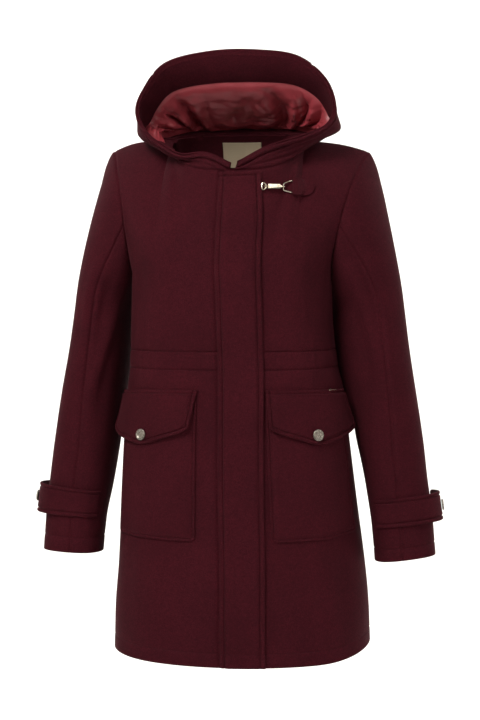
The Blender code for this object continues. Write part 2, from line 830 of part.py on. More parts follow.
def add_pocket(name, panel, columns, side, material):
    heights = (POCKET_BOTTOM_Z, POCKET_TOP_Z)
    low, high = (height_to_v(POCKET_HEIGHT_AT, z) * LOW_STEPS for z in heights)
    rows = [low, low + 2 * POCKET_CORNER, *inner_stops([low + 2 * POCKET_CORNER], [high]), high]
    sides = (side * POCKET_INNER[side], side * POCKET_OUTER)
    ends = [[place_on(columns, u, i / LOW_STEPS)[1] for u in sides] for i in rows]
    inside = inner_stops([start + POCKET_END_CLEAR for start, _ in ends], [end for _, end in ends])
    places = [[(i, start), *((i, j) for j in inside), (i, end)] for i, (start, end) in zip(rows, ends)]
    for at, inward in ((0, 1), (-1, -1)):
        row, column = places[0][at]
        places[0][at] = (row + POCKET_CORNER / 2, column + inward * POCKET_CORNER)
    patch = panel.patch(places)
    across = np.linspace(0, np.pi, len(places[0]))
    up = np.linspace(0, np.pi, len(places))
    gap = ON_TOP + POCKET_PUFF * np.sin(up)[:, None] * np.sin(across)
    laid_wall(name, patch, material, gap)


def flap_places(columns, side, heights, shares):
    """Places for rows down a flap. The heights count rows from its top edge, the shares run across."""
    places = []
    for t in heights:
        low_t = max(t - 1, 0) / (FLAP_STEPS - 1)
        tops = (FLAP_TOP_INNER[side], FLAP_TOP_OUTER)
        inner, outer = (top + (low - top) * t / FLAP_STEPS for top, low in zip(tops, FLAP_LOW))
        row = []
        for share in shares:
            u = inner + (outer - inner) * share
            edge = float(np.interp(u, *zip(*FLAP_EDGE)))
            z = FLAP_TOP_Z + (FLAP_STEP_Z - FLAP_TOP_Z) * min(t, 1) + (edge - FLAP_STEP_Z) * low_t
            row.append(place_on(columns, side * u, height_to_v(u, z)))
        places.append(row)
    return places


def flap_gap(t, share):
    """How far a flap stands off the front, t rows down it and at a share of its length."""
    rise = FLAP_TOP_GAP + (FLAP_LOW_GAP - FLAP_TOP_GAP) * min(t, 1)
    low = max(t - 1, 0) / (FLAP_STEPS - 1)
    outer_from, outer_spread, outer_lift = FLAP_OUTER_LIFT
    inner_to, inner_spread, inner_lift = FLAP_INNER_LIFT
    lift = outer_lift * max(share - outer_from, 0) ** 2 / outer_spread
    lift += inner_lift * max(inner_to - share, 0) ** 2 / inner_spread
    return rise + low * FLAP_SLOPE + low**1.5 * lift


def add_flap(word, panel, columns, side, wool, metal):
    shares = np.linspace(0, 1, 2 * (NECK_STEPS + 1) + 1)
    heights = range(FLAP_STEPS + 1)
    patch = panel.patch(flap_places(columns, side, heights, shares))
    gaps = [[flap_gap(t, share) for share in shares] for t in heights]
    laid_wall("flap_" + word, patch, wool, gaps)
    ground = Panel(patch.grid + patch.normals * (np.array(gaps) + WOOL)[:, :, None], (0, -1, 0))
    u, z = FLAP_BUTTON
    row, column = nearest_place(ground, side, u, z)
    add_button("flap_button_" + word, *ground.at(row, column), metal)
    return ground


def nearest_place(ground, side, u, z):
    """The row and column of a flap's grid that lie over the front at u and z."""
    wanted = section_point(u * math.pi / 2, z, side, -1)
    rows, columns = ground.grid.shape[:2]
    best, found = 1e9, (0, 0)
    for i in np.linspace(0, rows - 1, SEARCH_ROWS):
        for j in np.linspace(0, columns - 1, SEARCH_COLUMNS):
            point, normal = ground.at(i, j)
            apart = point - wanted
            off = float(np.linalg.norm(apart - normal * np.dot(apart, normal)))
            if off < best:
                best, found = off, (i, j)
    return found


def add_bar(flap, metal):
    """The small plate along the top edge of the wearer's left flap."""
    length, height, thick = FLAP_BAR_SIZE
    row, column = nearest_place(flap, 1, *FLAP_BAR)
    point, _ = flap.at(row, column)
    per_row = np.linalg.norm(flap.at(row + 1, column)[0] - point)
    per_column = np.linalg.norm(flap.at(row, column + 1)[0] - point)
    rows = [row + height / 2 / per_row * way for way in (1, -1)]
    columns = [column + length / 2 / per_column * way for way in (-1, -0.5, 0, 0.5, 1)]
    patch = flap.patch([[(max(i, 0.0), j) for j in columns] for i in rows])
    laid_wall("flap_bar", patch, metal, FLAP_BAR_GAP, thick)


def stand_on(mesh, point, normal):
    """Moves a mesh from the origin to a point in millimetres, with its Z axis along the normal."""
    out = Vector(normal).normalized()
    across = Vector((0, 0, 1)).cross(out).normalized()
    up = out.cross(across)
    turn = Matrix((across, up, out)).transposed().to_4x4()
    mesh.transform(Matrix.Translation(Vector(point) * MM) @ turn)


def add_button(name, point, normal, material):
    mesh = turned_mesh(BUTTON_PROFILE, BUTTON_SEGMENTS)
    stand_on(mesh, point + normal * BUTTON_GAP, normal)
    add_object(name, mesh, material)


def add_tab(word, sleeve, side, wool, metal):
    rows = LEFT_SLEEVE if side > 0 else RIGHT_SLEEVE
    tallest, lowest = rows[0][2], rows[-1][2]

    def row_at(z):
        return CAP_STEPS + (z - tallest) / (lowest - tallest) * SLEEVE_STEPS

    high, low = row_at(TAB_Z[side] + TAB_HEIGHT / 2), row_at(TAB_Z[side] - TAB_HEIGHT / 2)
    first, last = (column + SLEEVE_SEAM for column in TAB_COLUMNS)
    stops = [float(stop) for stop in np.arange(first, last + TAB_STEP / 2, TAB_STEP)]
    across = [high, *inner_stops([high], [low]), low]
    patch = sleeve.patch([[(i, j) for j in stops] for i in across])
    stand = [TAB_GAP + TAB_STAND * ease((stop - first - TAB_FLAT) / TAB_RISE) for stop in stops]
    gaps = np.array([stand] * len(across))
    laid_wall("cuff_tab_" + word, patch, wool, gaps)
    ground = Panel(patch.grid + patch.normals * (gaps + WOOL)[:, :, None], patch.normals[0, len(stops) // 2])
    column = (TAB_BUTTON_COLUMN + SLEEVE_SEAM - first) / TAB_STEP
    add_button("cuff_button_" + word, *ground.at((len(across) - 1) / 2, column), metal)


# clasp


def clasp_ground():
    """The front that the clasp lies on, as a panel of its own with even steps."""
    xs = np.arange(CLASP_GROUND_X[0], CLASP_GROUND_X[1] + 1, CLASP_GROUND_STEP)
    zs = np.arange(CLASP_GROUND_Z[0], CLASP_GROUND_Z[1] + 1, CLASP_GROUND_STEP)
    return Panel([[body_point(*find_place(x, z, -1), -1) for x in xs] for z in zs], (0, -1, 0))


def clasp_place(along_front, up):
    column = (CLASP_FROM + along_front - CLASP_GROUND_X[0]) / CLASP_GROUND_STEP
    return (CLASP_Z + up - CLASP_GROUND_Z[0]) / CLASP_GROUND_STEP, column


def lay_on_front(mesh, ground):
    """Moves a mesh drawn along the front, up and out, onto the front."""
    for vertex in mesh.vertices:
        along_front, up, out = vertex.co / MM
        point, normal = ground.at(*clasp_place(along_front, up))
        vertex.co = Vector(point + normal * out) * MM
    face_out(mesh)


def rounded_loop(points, turns):
    """A closed path in metres through points in millimetres, with its corners cut in turns."""
    path = [np.array(point, float) for point in points]
    for _ in range(turns):
        sides = zip(path, path[1:] + path[:1])
        path = [spot for a, b in sides for spot in ((3 * a + b) / 4, (a + 3 * b) / 4)]
    return [tuple(point * MM) for point in path]


def add_clasp(wool, metal):
    ground = clasp_ground()
    ring = tube_mesh(rounded_loop(CLASP_RING, 2), CLASP_WIRE * MM, True)
    reach, height = CLASP_RING[3][0] - CLASP_EYE_BACK, CLASP_RING[3][2]
    turns = [2 * math.pi * i / CLASP_EYE_SEGMENTS for i in range(CLASP_EYE_SEGMENTS)]
    radius = CLASP_EYE_RADIUS
    eye = [((reach + radius * math.cos(a)) * MM, 0.0, (height + radius * math.sin(a)) * MM) for a in turns]
    bar = flat_mesh(CLASP_BAR, CLASP_BAR_LOW, CLASP_BAR_HIGH)
    nose = tube_mesh([tuple(np.array(point) * MM) for point in CLASP_NOSE], CLASP_NOSE_WIRE * MM, False)
    hook = union_mesh("clasp_hook", bar, [tube_mesh(eye, CLASP_EYE_WIRE * MM, True), nose])
    loop = tube_mesh(rounded_loop(CLASP_LOOP, 1), CLASP_WIRE * MM, True)
    for name, mesh in (("clasp_ring", ring), ("clasp_hook", hook), ("clasp_loop", loop)):
        lay_on_front(mesh, ground)
        add_object(name, mesh, metal)

    start, end, half = CLASP_TAB
    steps = CLASP_TAB_STEPS
    places = []
    for angle in np.linspace(-math.pi / 2, math.pi / 2, steps):
        reach = end + half * math.cos(angle)
        places.append([clasp_place(x, half * math.sin(angle)) for x in np.linspace(start, reach, steps)])
    beyond, over = CLASP_TAB_GAP
    fall_from, fall_run = CLASP_TAB_FALL
    shares = np.linspace(0, 1, steps)
    gap = [beyond + (over - beyond) * (1 - ease((share - fall_from) / fall_run)) for share in shares]
    laid_wall("clasp_tab", ground.patch(places), wool, np.array([gap] * steps))


# hood


def hood_stations():
    """Stations that meet the fronts' and the back's columns at the neckline, for both halves."""
    back = [RIM_NECK_POINT + (RIM_TOP - RIM_NECK_POINT) * i / NECK_STEPS for i in range(NECK_STEPS + 1)]
    right_front = [-u / NECK_SHARE * RIM_NECK_POINT for u in right_columns(2.0)[: NECK_STEPS + 1]]
    left_front = [u / NECK_SHARE * RIM_NECK_POINT for u in left_columns(2.0)[2 : NECK_STEPS + 2]]
    right = [HOOD_END, *right_front, *back[1:]]
    left = [HOOD_END, *left_front, *back[1:]]
    return right, [RIM_END - station for station in left]


def hood_panels():
    """The wearer's right side, the centre and the wearer's left side."""
    right, left = hood_stations()
    seam = -1 - HOOD_SEAM_STEPS
    groups = (right[:seam + 1], right[seam:] + left[::-1][1:HOOD_SEAM_STEPS + 1], left[:seam + 1])
    ws = np.linspace(0, 1, HOOD_STEPS + 1)
    outward = ((-1, 0, 0), (0, 0.4, 1), (1, 0, 0))
    panels = []
    for stations, facing in zip(groups, outward, strict=True):
        panels.append(Panel([[hood_point(s, w) for s in stations] for w in ws], facing))
    return panels, groups


def puff_depth(station, w):
    """How far the hood's lining hangs in from the shell: soft folds, deepest to each side."""
    depth = INSIDE_CLEAR
    for fold in PUFFS:
        row = dict(zip(PUFF_COLUMNS, fold))
        along_rim = (station - row["station"]) / row["wide"]
        across = (w - row["w"]) / row["tall"]
        depth += row["deep"] * math.exp(-along_rim**2 - across**2)
    return depth


def row_at_width(panel, j, width):
    """The row of column j that lies the given width from the panel's first row."""
    lengths = np.linalg.norm(np.diff(panel.grid[:, j], axis=0), axis=1)
    return float(np.interp(width, np.concatenate([[0], np.cumsum(lengths)]), range(len(panel.grid))))


def add_hood_inside(panels, groups, wool, satin):
    """The wool facing along the rim, the lining, and the band inside the back neck."""
    rows = [panels[0].grid, panels[1].grid[:, 1:], panels[2].grid[:, -2::-1]]
    shell = Panel(np.concatenate(rows, axis=1), (0, 0.4, 1))
    stations = [*groups[0], *groups[1][1:], *groups[2][::-1][1:]]
    halves = [min(station, RIM_END - station) for station in stations]
    whole = len(shell.grid) - 1

    edges = []
    for j, half in enumerate(halves):
        lined = half >= LINING_STATION
        edges.append(row_at_width(shell, j, FACING_WIDTH) if lined else FACING_FRONT_W * whole)
    facing = [[(edge * share, j) for j, edge in enumerate(edges)] for share in FACING_SHARES]
    depth = np.full((len(facing), len(edges)), INSIDE_CLEAR)
    depth[0] = RIM_CLEAR
    depth += [FRONT_CLEAR if half < LINING_STATION else 0.0 for half in halves]
    lined_wall("hood_facing", shell.patch(facing), wool, depth, WOOL)

    inside = [j for j, half in enumerate(halves) if half >= LINING_STATION]
    shares = np.linspace(0, 1, LINING_ROWS)
    lining, depths = [], []
    for share in shares:
        row, row_depths = [], []
        for j in inside:
            start = edges[j] + LINING_START
            i = start + (LINING_END_W * whole - start) * share
            row.append((i, j))
            free = math.sin(math.pi * share) ** 0.5 if 0 < share < 1 else 0.0
            hang = puff_depth(stations[j], i / whole) - INSIDE_CLEAR
            row_depths.append(INSIDE_CLEAR + hang * free)
        lining.append(row)
        depths.append(row_depths)
    lined_wall("hood_lining", shell.patch(lining), satin, depths, LINING)

    behind = [j for j, half in enumerate(halves) if half >= BAND_STATION]
    band = [[(w * whole, j) for j in behind] for w in BAND_W]
    lined_wall("neck_band", shell.patch(band), wool, RIM_CLEAR, BAND_THICK)


def add_label(back, cloth):
    zs, xs = np.linspace(*LABEL_Z, LABEL_ROWS), np.linspace(*LABEL_X, LABEL_COLUMNS)
    places = [[place_on(back_columns, *find_place(x, z, 1)) for x in xs] for z in zs]
    lined_wall("neck_label", back.patch(places), cloth, WOOL + ON_TOP, LABEL_THICK)


def main():
    clear_scene()
    wool = plain_material("Burgundy wool melton", (0.055, 0.007, 0.012), 0.9)
    satin = plain_material("Burgundy satin", (0.16, 0.025, 0.035), 0.4)
    label = plain_material("Beige woven label", (0.42, 0.33, 0.22), 0.7)
    nickel = plain_material("Antique nickel", (0.36, 0.32, 0.28), 0.35, 1.0)
    pale = plain_material("Pale gold plate", (0.72, 0.58, 0.38), 0.3, 1.0)

    right, left = body_panel(right_columns, -1), body_panel(left_columns, -1)
    back, fly = body_panel(back_columns, 1), fly_panel()
    whole_sleeves = {side: whole_sleeve(side) for side in (-1, 1)}
    sleeves = {side: sleeve_panels(whole_sleeves[side], side) for side in (-1, 1)}
    hoods, groups = hood_panels()

    for word, side, panel, columns in (("right", -1, right, right_columns), ("left", 1, left, left_columns)):
        add_pocket("pocket_" + word, panel, columns, side, wool)
        flap = add_flap(word, panel, columns, side, wool, nickel)
        add_tab(word, whole_sleeves[side], side, wool, nickel)
    add_bar(flap, pale)
    add_clasp(wool, pale)
    add_hood_inside(hoods, groups, wool, satin)
    add_label(back, label)

    join_seams([right, left, back, fly, *sleeves[-1], *sleeves[1], *hoods])
    draw_back(fly, "start")
    draw_back(right, "start", "end", "high")
    draw_back(left, "end", "high")
    draw_back(back, "start", "end", "high")
    for pair in sleeves.values():
        for panel in pair:
            draw_back(panel, "start", "end", "low")
    draw_back(hoods[0], "end", "high")
    draw_back(hoods[1], "start", "end", "high")
    draw_back(hoods[2], "end", "high")

    panel_wall("front_right", right, wool)
    panel_wall("front_left", left, wool)
    panel_wall("back", back, wool)
    panel_wall("fly_front", fly, wool)
    for side, word in ((-1, "right"), (1, "left")):
        for part, panel in zip(("upper", "under"), sleeves[side], strict=True):
            panel_wall(f"{part}_sleeve_{word}", panel, wool)
    for word, panel in zip(("right", "centre", "left"), hoods, strict=True):
        panel_wall("hood_" + word, panel, wool)


main()
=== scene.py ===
import math

import bmesh
import bpy
import numpy as np
from mathutils import Matrix, Vector


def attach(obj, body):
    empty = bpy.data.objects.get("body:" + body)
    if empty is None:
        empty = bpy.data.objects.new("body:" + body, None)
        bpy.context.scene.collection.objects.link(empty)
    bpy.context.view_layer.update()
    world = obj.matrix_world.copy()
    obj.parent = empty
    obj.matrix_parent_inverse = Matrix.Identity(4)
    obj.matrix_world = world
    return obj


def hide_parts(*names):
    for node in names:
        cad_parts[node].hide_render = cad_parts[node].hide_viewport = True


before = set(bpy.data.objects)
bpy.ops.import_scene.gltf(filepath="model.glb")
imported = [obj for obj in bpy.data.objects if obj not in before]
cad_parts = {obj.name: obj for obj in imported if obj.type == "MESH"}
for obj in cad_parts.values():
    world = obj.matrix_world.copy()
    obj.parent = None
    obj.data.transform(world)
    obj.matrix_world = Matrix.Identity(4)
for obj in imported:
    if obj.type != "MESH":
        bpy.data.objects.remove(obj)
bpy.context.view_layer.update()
print("frame loaded:", len(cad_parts), "solids")

sides = ((-1, "right"), (1, "left"))

# A hooded wool coat, worn. Sizes are in millimetres until a mesh is made. The wearer's left is +X,
# the front is -Y, and the origin lies between the shoulders.
millimetre = 0.001


def linked(name, data):
    thing = bpy.data.objects.new(name, data)
    bpy.context.scene.collection.objects.link(thing)
    return thing


def smoothRead(keys, values, at):  # the smooth curve through a table's rows
    keys = np.asarray(keys, float)
    values = np.asarray(values, float)
    at = np.clip(np.asarray(at, float), keys[0], keys[-1])
    low = np.clip(np.searchsorted(keys, at) - 1, 0, len(keys) - 2)
    count = np.arange(len(keys))
    before = np.maximum(count - 1, 0)
    after = np.minimum(count + 1, len(keys) - 1)
    slopes = (values[after] - values[before]) / (keys[after] - keys[before])[:, None]
    step = (keys[low + 1] - keys[low])[..., None]
    t = (at - keys[low])[..., None] / step
    start = (2 * t**3 - 3 * t**2 + 1) * values[low] + (t**3 - 2 * t**2 + t) * step * slopes[low]
    end = (3 * t**2 - 2 * t**3) * values[low + 1] + (t**3 - t**2) * step * slopes[low + 1]
    return start + end


def readTable(rows, at):  # the other columns of a table, read at values of its first
    rows = np.array(sorted(rows), float)
    return smoothRead(rows[:, 0], rows[:, 1:], at)


def along(points, t):
    return smoothRead(np.arange(len(points)), points, t)


def bezier(a, b, c, d, t):
    s = 1 - t
    return s**3 * a + 3 * s * s * t * b + 3 * s * t * t * c + t**3 * d


def ease(t):
    t = np.clip(t, 0.0, 1.0)
    return t * t * (3 - 2 * t)


def mirrorX(points, side):
    points = np.array(points, float)
    points[..., 0] = points[..., 0] * side
    return points


def creaseDepth(creases, a, b, parts=8):  # soft troughs and ridges along given paths
    total = np.zeros(np.broadcast(a, b).shape)
    for path, widths, depth in creases:
        path = along(path, np.linspace(0, len(path) - 1, parts + 1))
        best = np.full(total.shape, 1e9)
        place = np.zeros(total.shape)
        for i in range(parts):
            step = path[i + 1] - path[i]
            t = ((a - path[i, 0]) * step[0] + (b - path[i, 1]) * step[1]) / max(step @ step, 1e-9)
            t = np.clip(t, 0, 1)
            off = np.hypot(a - path[i, 0] - t * step[0], b - path[i, 1] - t * step[1])
            nearer = off < best
            best = np.where(nearer, off, best)
            place = np.where(nearer, (i + t) / parts, place)
        width = widths[0] + (widths[1] - widths[0]) * place
        swell = np.sin(np.pi * (0.06 + 0.88 * place))  # nearly nothing at both ends
        total += depth * swell * np.exp(-((best / width) ** 2))
    return total


coat = {
    # z of each level, its centre, the right and left side seams, and the reach of front and back
    "levels": (
        (-830, 4, -202, 212, 134, 150),
        (-745, 3, -200, 209, 132, 148),
        (-680, 3, -195, 203, 130, 146),
        (-582, 1, -190, 190, 127, 144),
        (-485, 0, -185, 178, 125, 142),
        (-400, 0, -180, 168, 122, 139),
        (-368, -1, -176, 160, 118, 135),
        (-340, -2, -175, 156, 117, 134),
        (-290, -3, -174, 151, 120, 135),
        (-215, -5, -172, 150, 127, 136),
    ),
    "sideSeamY": -12.0,
    "boxiness": 0.04,
    "hemZ": -817.0,
    "hemDip": {-1: 11.0, 1: 4.0},
    "hemHitch": 11.0,
    "hitchFrom": 0.38,
    "underarmZ": -215.0,
    "waistDip": 1.6,
    "waistZ": -354.0,
    "waistHalf": 15.0,
    "neckFront": (
        (0, -121, -60), (44, -116, -58), (74, -103, -50), (92, -80, -38), (103, -45, -20), (107, 0, -2),
    ),
    "neckBack": ((107, 0, -2), (97, 40, 6), (62, 70, 12), (0, 82, 14)),
    "neckShare": 0.44,
    "shoulderPoint": (206, 4, -21),
    "shoulderLift": {-1: (6.0, 9.5), 1: (1.5, 4.0)},  # at the point and half way along, by side
    # across the panel, then the pull at the chest and at the top
    "yokeFront": (
        (0.00, 0, 0, 55, 0, -8, -45),
        (0.22, 0, -3, 55, 0, -12, -45),
        (0.33, 0, -8, 75, 0, -42, -28),
        (0.44, 0, -11, 95, 0, -60, -9),
        (0.70, 2, -45, 65, 0, -72, -18),
        (1.00, -5, -100, 15, -18, -85, -30),
    ),
    "yokeBack": (
        (0.00, 0, 8, 70, 0, 35, -25),
        (0.22, 0, 8, 70, 0, 40, -22),
        (0.44, 0, 16, 90, 0, 62, -10),
        (0.70, 2, 45, 70, 0, 72, -16),
        (1.00, -5, 105, 15, -16, 85, -30),
    ),
}

# Each crease: its path over the cloth as (x, z), its half width at both ends, its depth (- is a trough)
frontCreases = (
    (((-158, -170), (-147, -230), (-150, -300)), (12, 16), -3.0),
    (((-128, -150), (-112, -220), (-108, -305)), (24, 20), 1.8),
    (((-84, -120), (-72, -210), (-66, -300)), (26, 18), -1.2),
    (((-112, -300), (-102, -322), (-98, -338)), (9, 7), -0.7),
    (((-140, -378), (-128, -392), (-122, -404)), (8, 10), 0.8),
    (((-62, -640), (-74, -720), (-70, -812)), (20, 30), -2.2),
    (((-118, -650), (-122, -730), (-136, -822)), (16, 26), 2.2),
    (((-160, -560), (-168, -690), (-172, -816)), (14, 20), -3.2),
    (((-30, -560), (-38, -690), (-34, -800)), (12, 16), 1.0),
    (((132, -160), (124, -225), (126, -300)), (11, 14), -2.4),
    (((110, -140), (98, -215), (92, -300)), (24, 18), 1.8),
    (((74, -140), (66, -230), (72, -318)), (16, 20), -1.3),
    (((120, -306), (112, -322), (108, -338)), (8, 6), -0.7),
    (((134, -372), (122, -386), (116, -402)), (8, 10), 0.8),
    (((86, -600), (98, -700), (94, -815)), (18, 26), -2.4),
    (((132, -640), (140, -730), (152, -820)), (14, 24), 2.2),
    (((164, -540), (174, -680), (180, -812)), (13, 18), -3.0),
    (((62, -640), (66, -730), (64, -806)), (8, 12), 1.2),
)
backCreases = (
    (((-6, -70), (2, -190), (-3, -330)), (20, 14), -2.2),
    (((-96, -110), (-84, -210), (-92, -326)), (30, 20), 2.6),
    (((92, -120), (84, -230), (76, -330)), (26, 22), 2.2),
    (((-132, -160), (-124, -240), (-132, -320)), (13, 16), -3.2),
    (((128, -170), (120, -250), (118, -322)), (15, 12), -3.0),
    (((-44, -260), (-38, -300), (-42, -336)), (9, 7), -1.1),
    (((52, -250), (46, -296), (50, -336)), (8, 9), -1.0),
    (((-70, -372), (-86, -560), (-92, -816)), (15, 28), -4.0),
    (((58, -372), (72, -590), (84, -818)), (14, 30), -3.6),
    (((-8, -376), (-4, -600), (-12, -820)), (22, 36), 3.2),
    (((-132, -380), (-140, -600), (-150, -816)), (14, 24), 3.0),
    (((122, -380), (132, -620), (146, -818)), (15, 22), 2.8),
    (((-30, -372), (-36, -430), (-34, -520)), (7, 13), -1.5),
    (((30, -374), (34, -450), (30, -560)), (8, 12), -1.4),
)
# The waist casing: its two stitched lines as shares of the way up, and its gathers: where across the
# front or the back each small pucker stands, and how deep it is
waist = {
    "rows": (0.7945, 0.7485),
    "stitchDepth": 1.5,
    "stitchWidth": 1.5,
    "tall": 612.0,  # from hem to underarm
    "pucker": 1.3,
    "puckerWidth": 3.4,
    "puckerLean": 0.12,
    "fullness": 0.8,  # how far the casing swells between its lines
}
waistPuckers = {
    -1: (
        (-151, 0.8), (-139, 0.5), (-124, 0.9), (-113, 0.4), (-101, 0.7), (-86, 0.5), (-77, 0.9), (-61, 0.6),
        (-47, 0.8), (-33, 0.4), (58, 0.5), (69, 0.9), (83, 0.6), (91, 0.8), (106, 0.5), (117, 0.9),
        (131, 0.6), (141, 0.8),
    ),
    1: (
        (-150, 0.7), (-136, 0.9), (-121, 0.5), (-108, 0.9), (-94, 0.6), (-82, 0.8), (-69, 0.5), (-57, 0.9),
        (-41, 0.6), (-29, 0.9), (-14, 0.5), (3, 0.8), (17, 0.6), (28, 0.9), (44, 0.5), (55, 0.8), (72, 0.6),
        (86, 0.9), (99, 0.5), (112, 0.8), (127, 0.6), (139, 0.9),
    ),
}


def sectionPoint(u, z, face):
    level = readTable(coat["levels"], z)
    seam = np.where(u >= 0, level[..., 2], level[..., 1])
    reach = level[..., 3] if face < 0 else level[..., 4]
    gather = coat["waistDip"] * np.exp(-(((z - coat["waistZ"]) / coat["waistHalf"]) ** 2))
    angle = np.abs(u) * math.pi / 2
    box = coat["boxiness"]
    across = (1 + box) * np.sin(angle) + box * np.sin(3 * angle)
    deep = (1 + box) * np.cos(angle) - box * np.cos(3 * angle)
    x = level[..., 0] + (seam - level[..., 0]) * across
    y = coat["sideSeamY"] + face * (reach - gather) * deep
    return np.stack([x, y, z + 0 * x], axis=-1)


def hemHeight(u, face):
    # the hem rides up at the wearer's left
    hitch = coat["hemHitch"] * ease((u - coat["hitchFrom"]) / (1 - coat["hitchFrom"]))
    return coat["hemZ"] + hitch - coat["hemDip"][face] * np.cos(u * math.pi / 2) ** 2


def topEdge(u, face):
    share = coat["neckShare"]
    if face < 0:
        neck = along(coat["neckFront"], u / share * (len(coat["neckFront"]) - 1))
    else:
        neck = along(coat["neckBack"], (1 - u / share) * (len(coat["neckBack"]) - 1))
    start = np.array(coat["neckFront"][-1], float)
    way = np.clip((u - share) / (1 - share), 0, 1)[..., None]
    shoulder = start + (np.array(coat["shoulderPoint"], float) - start) * way
    return np.where((u <= share)[..., None], neck, shoulder)


def bodyPoint(u, v, face):  # v is 0 at the hem, 1 at the underarm and 2 at the neck and shoulder
    u, v = np.broadcast_arrays(np.asarray(u, float), np.asarray(v, float))
    side = np.where(u < 0, -1.0, 1.0)
    hem = hemHeight(u, face)
    below = sectionPoint(u, hem + (coat["underarmZ"] - hem) * np.minimum(v, 1.0), face)
    chest = sectionPoint(u, np.full(u.shape, coat["underarmZ"]), face)
    top = mirrorX(topEdge(np.abs(u), face), side)
    way = np.clip((np.abs(u) - coat["neckShare"]) / (1 - coat["neckShare"]), 0, 1)
    for which, (atPoint, halfWay) in coat["shoulderLift"].items():
        top[..., 2] += (side == which) * (atPoint * way**2 + halfWay * np.sin(math.pi * way**1.2))
    pulls = readTable(coat["yokeFront"] if face < 0 else coat["yokeBack"], np.abs(u))
    lowPull = mirrorX(pulls[..., :3], side)
    topPull = mirrorX(pulls[..., 3:], side)
    above = bezier(chest, chest + lowPull, top + topPull, top, np.clip(v - 1, 0, 1)[..., None])
    return np.where((v <= 1)[..., None], below, above)


def heightToV(u, z, face=-1):
    hem = hemHeight(u, face)
    return (z - hem) / (coat["underarmZ"] - hem)


def unit(vectors):
    return vectors / np.maximum(np.linalg.norm(vectors, axis=-1, keepdims=True), 1e-9)


def outwards(surface, a, b, sign, step=4e-3, limitsA=(-9, 9), limitsB=(0, 2)):
    # square to a surface, by small steps both ways that stay inside its limits
    lowA, highA = np.maximum(a - step, limitsA[0]), np.minimum(a + step, limitsA[1])
    lowB, highB = np.maximum(b - step, limitsB[0]), np.minimum(b + step, limitsB[1])
    acrossStep = surface(highA, b) - surface(lowA, b)
    alongStep = surface(a, highB) - surface(a, lowB)
    return unit(sign * np.cross(acrossStep, alongStep))


def bodyRelief(point, v, face):
    x, z = point[..., 0], point[..., 2]
    relief = creaseDepth(frontCreases if face < 0 else backCreases, x, z)
    for row in waist["rows"]:
        off = (v - row) * waist["tall"]
        for at, depth in waistPuckers[face]:
            aside = (x - at - waist["puckerLean"] * off) / waist["puckerWidth"]
            reach = np.exp(-(aside**2)) * np.exp(-np.abs(off) / (5 + 7 * depth))
            relief = relief - depth * waist["pucker"] * reach
        relief = relief - waist["stitchDepth"] * np.exp(-((off / waist["stitchWidth"]) ** 2))
    between = (v - waist["rows"][1]) / (waist["rows"][0] - waist["rows"][1])
    return relief + waist["fullness"] * np.sin(np.pi * np.clip(between, 0, 1))


def bodySurface(u, v, face):  # the coat's outer face with its creases
    u, v = np.broadcast_arrays(np.asarray(u, float), np.asarray(v, float))
    point = bodyPoint(u, v, face)
    out = outwards(lambda a, b: bodyPoint(a, b, face), u, v, -face)
    fade = ease((1 - np.abs(u)) / 0.06) * ease((2 - v) / 0.15)  # at the side seams and the top edge
    return point + out * (bodyRelief(point, v, face) * fade)[..., None]


def layOnBody(u, v, face, lift):  # a point that far out from the creased body
    out = outwards(lambda a, b: bodySurface(a, b, face), u, v, -face, 3e-3)
    return bodySurface(u, v, face) + out * np.asarray(lift)[..., None]


def placeOnYoke(x, z, face):  # where above the underarm the point at x and z lies, as u and v
    side = np.where(x >= 0, 1.0, -1.0)
    # found step by step, where one of u or v is about 240 mm
    u, v = np.abs(x) / 240, np.full(x.shape, 1.5)
    for _ in range(40):
        point = bodyPoint(side * u, v, face)
        u = np.clip(u + (np.abs(x) - side * point[..., 0]) / 320, 0.0, 1.0)
        v = np.clip(v + (z - point[..., 2]) / 240, 1.0, 2.0)
    return side * u, v


def frontU(x, v):  # where across the front the line x from the centre lies at row v
    side = np.where(np.asarray(x) >= 0, 1.0, -1.0)
    x, v, side = np.broadcast_arrays(np.abs(x), v, side)
    low, high = np.zeros(x.shape), np.full(x.shape, 0.6)  # it lies between these, and they close in
    middle = bodyPoint(np.zeros(x.shape), v, -1)[..., 0]
    for _ in range(20):
        mid = (low + high) / 2
        short = side * (bodyPoint(side * mid, v, -1)[..., 0] - middle) < x
        low, high = np.where(short, mid, low), np.where(short, high, mid)
    return side * low


seam = {"depth": 2.1, "width": 2.6}
stitchedLine = {"depth": 1.3, "halfWidth": 1.5}  # how a line of stitches draws the cloth in
edgeRound = 0.62  # of its thickness: how far in from a fold the cloth is rounded
innerShare = 0.3  # of the outer face's relief that shows inside
foldRound = (0.0, 0.12, 0.45, 0.95, 1.6)  # lines near a folded edge, where the cloth turns round
seamRound = (0.0, 0.6, 1.4, 2.4, 4.0)


def nearLines(style, stitches=()):  # the lines near an edge: close beside a fold, a seam or stitches
    lines = list(foldRound if style == "fold" else seamRound)
    for stitch in stitches:
        lines += [stitch - 2.0, stitch - 0.9, stitch, stitch + 0.9, stitch + 2.0]
    # wide gaps between them are filled
    fills = np.arange(7, max(lines), 5)
    lines += [fill for fill in fills if min(abs(fill - line) for line in lines) > 2.4]
    return sorted({round(line, 3) for line in lines if line >= 0})


def sharesNear(points, distances, shares):  # the share of the way in at each distance from the edge
    steps = np.linalg.norm(np.diff(points, axis=1), axis=2)
    lengths = np.concatenate([np.zeros((len(points), 1)), np.cumsum(steps, axis=1)], axis=1)
    return np.array([np.interp(distances, lengths[k], shares) for k in range(len(points))])


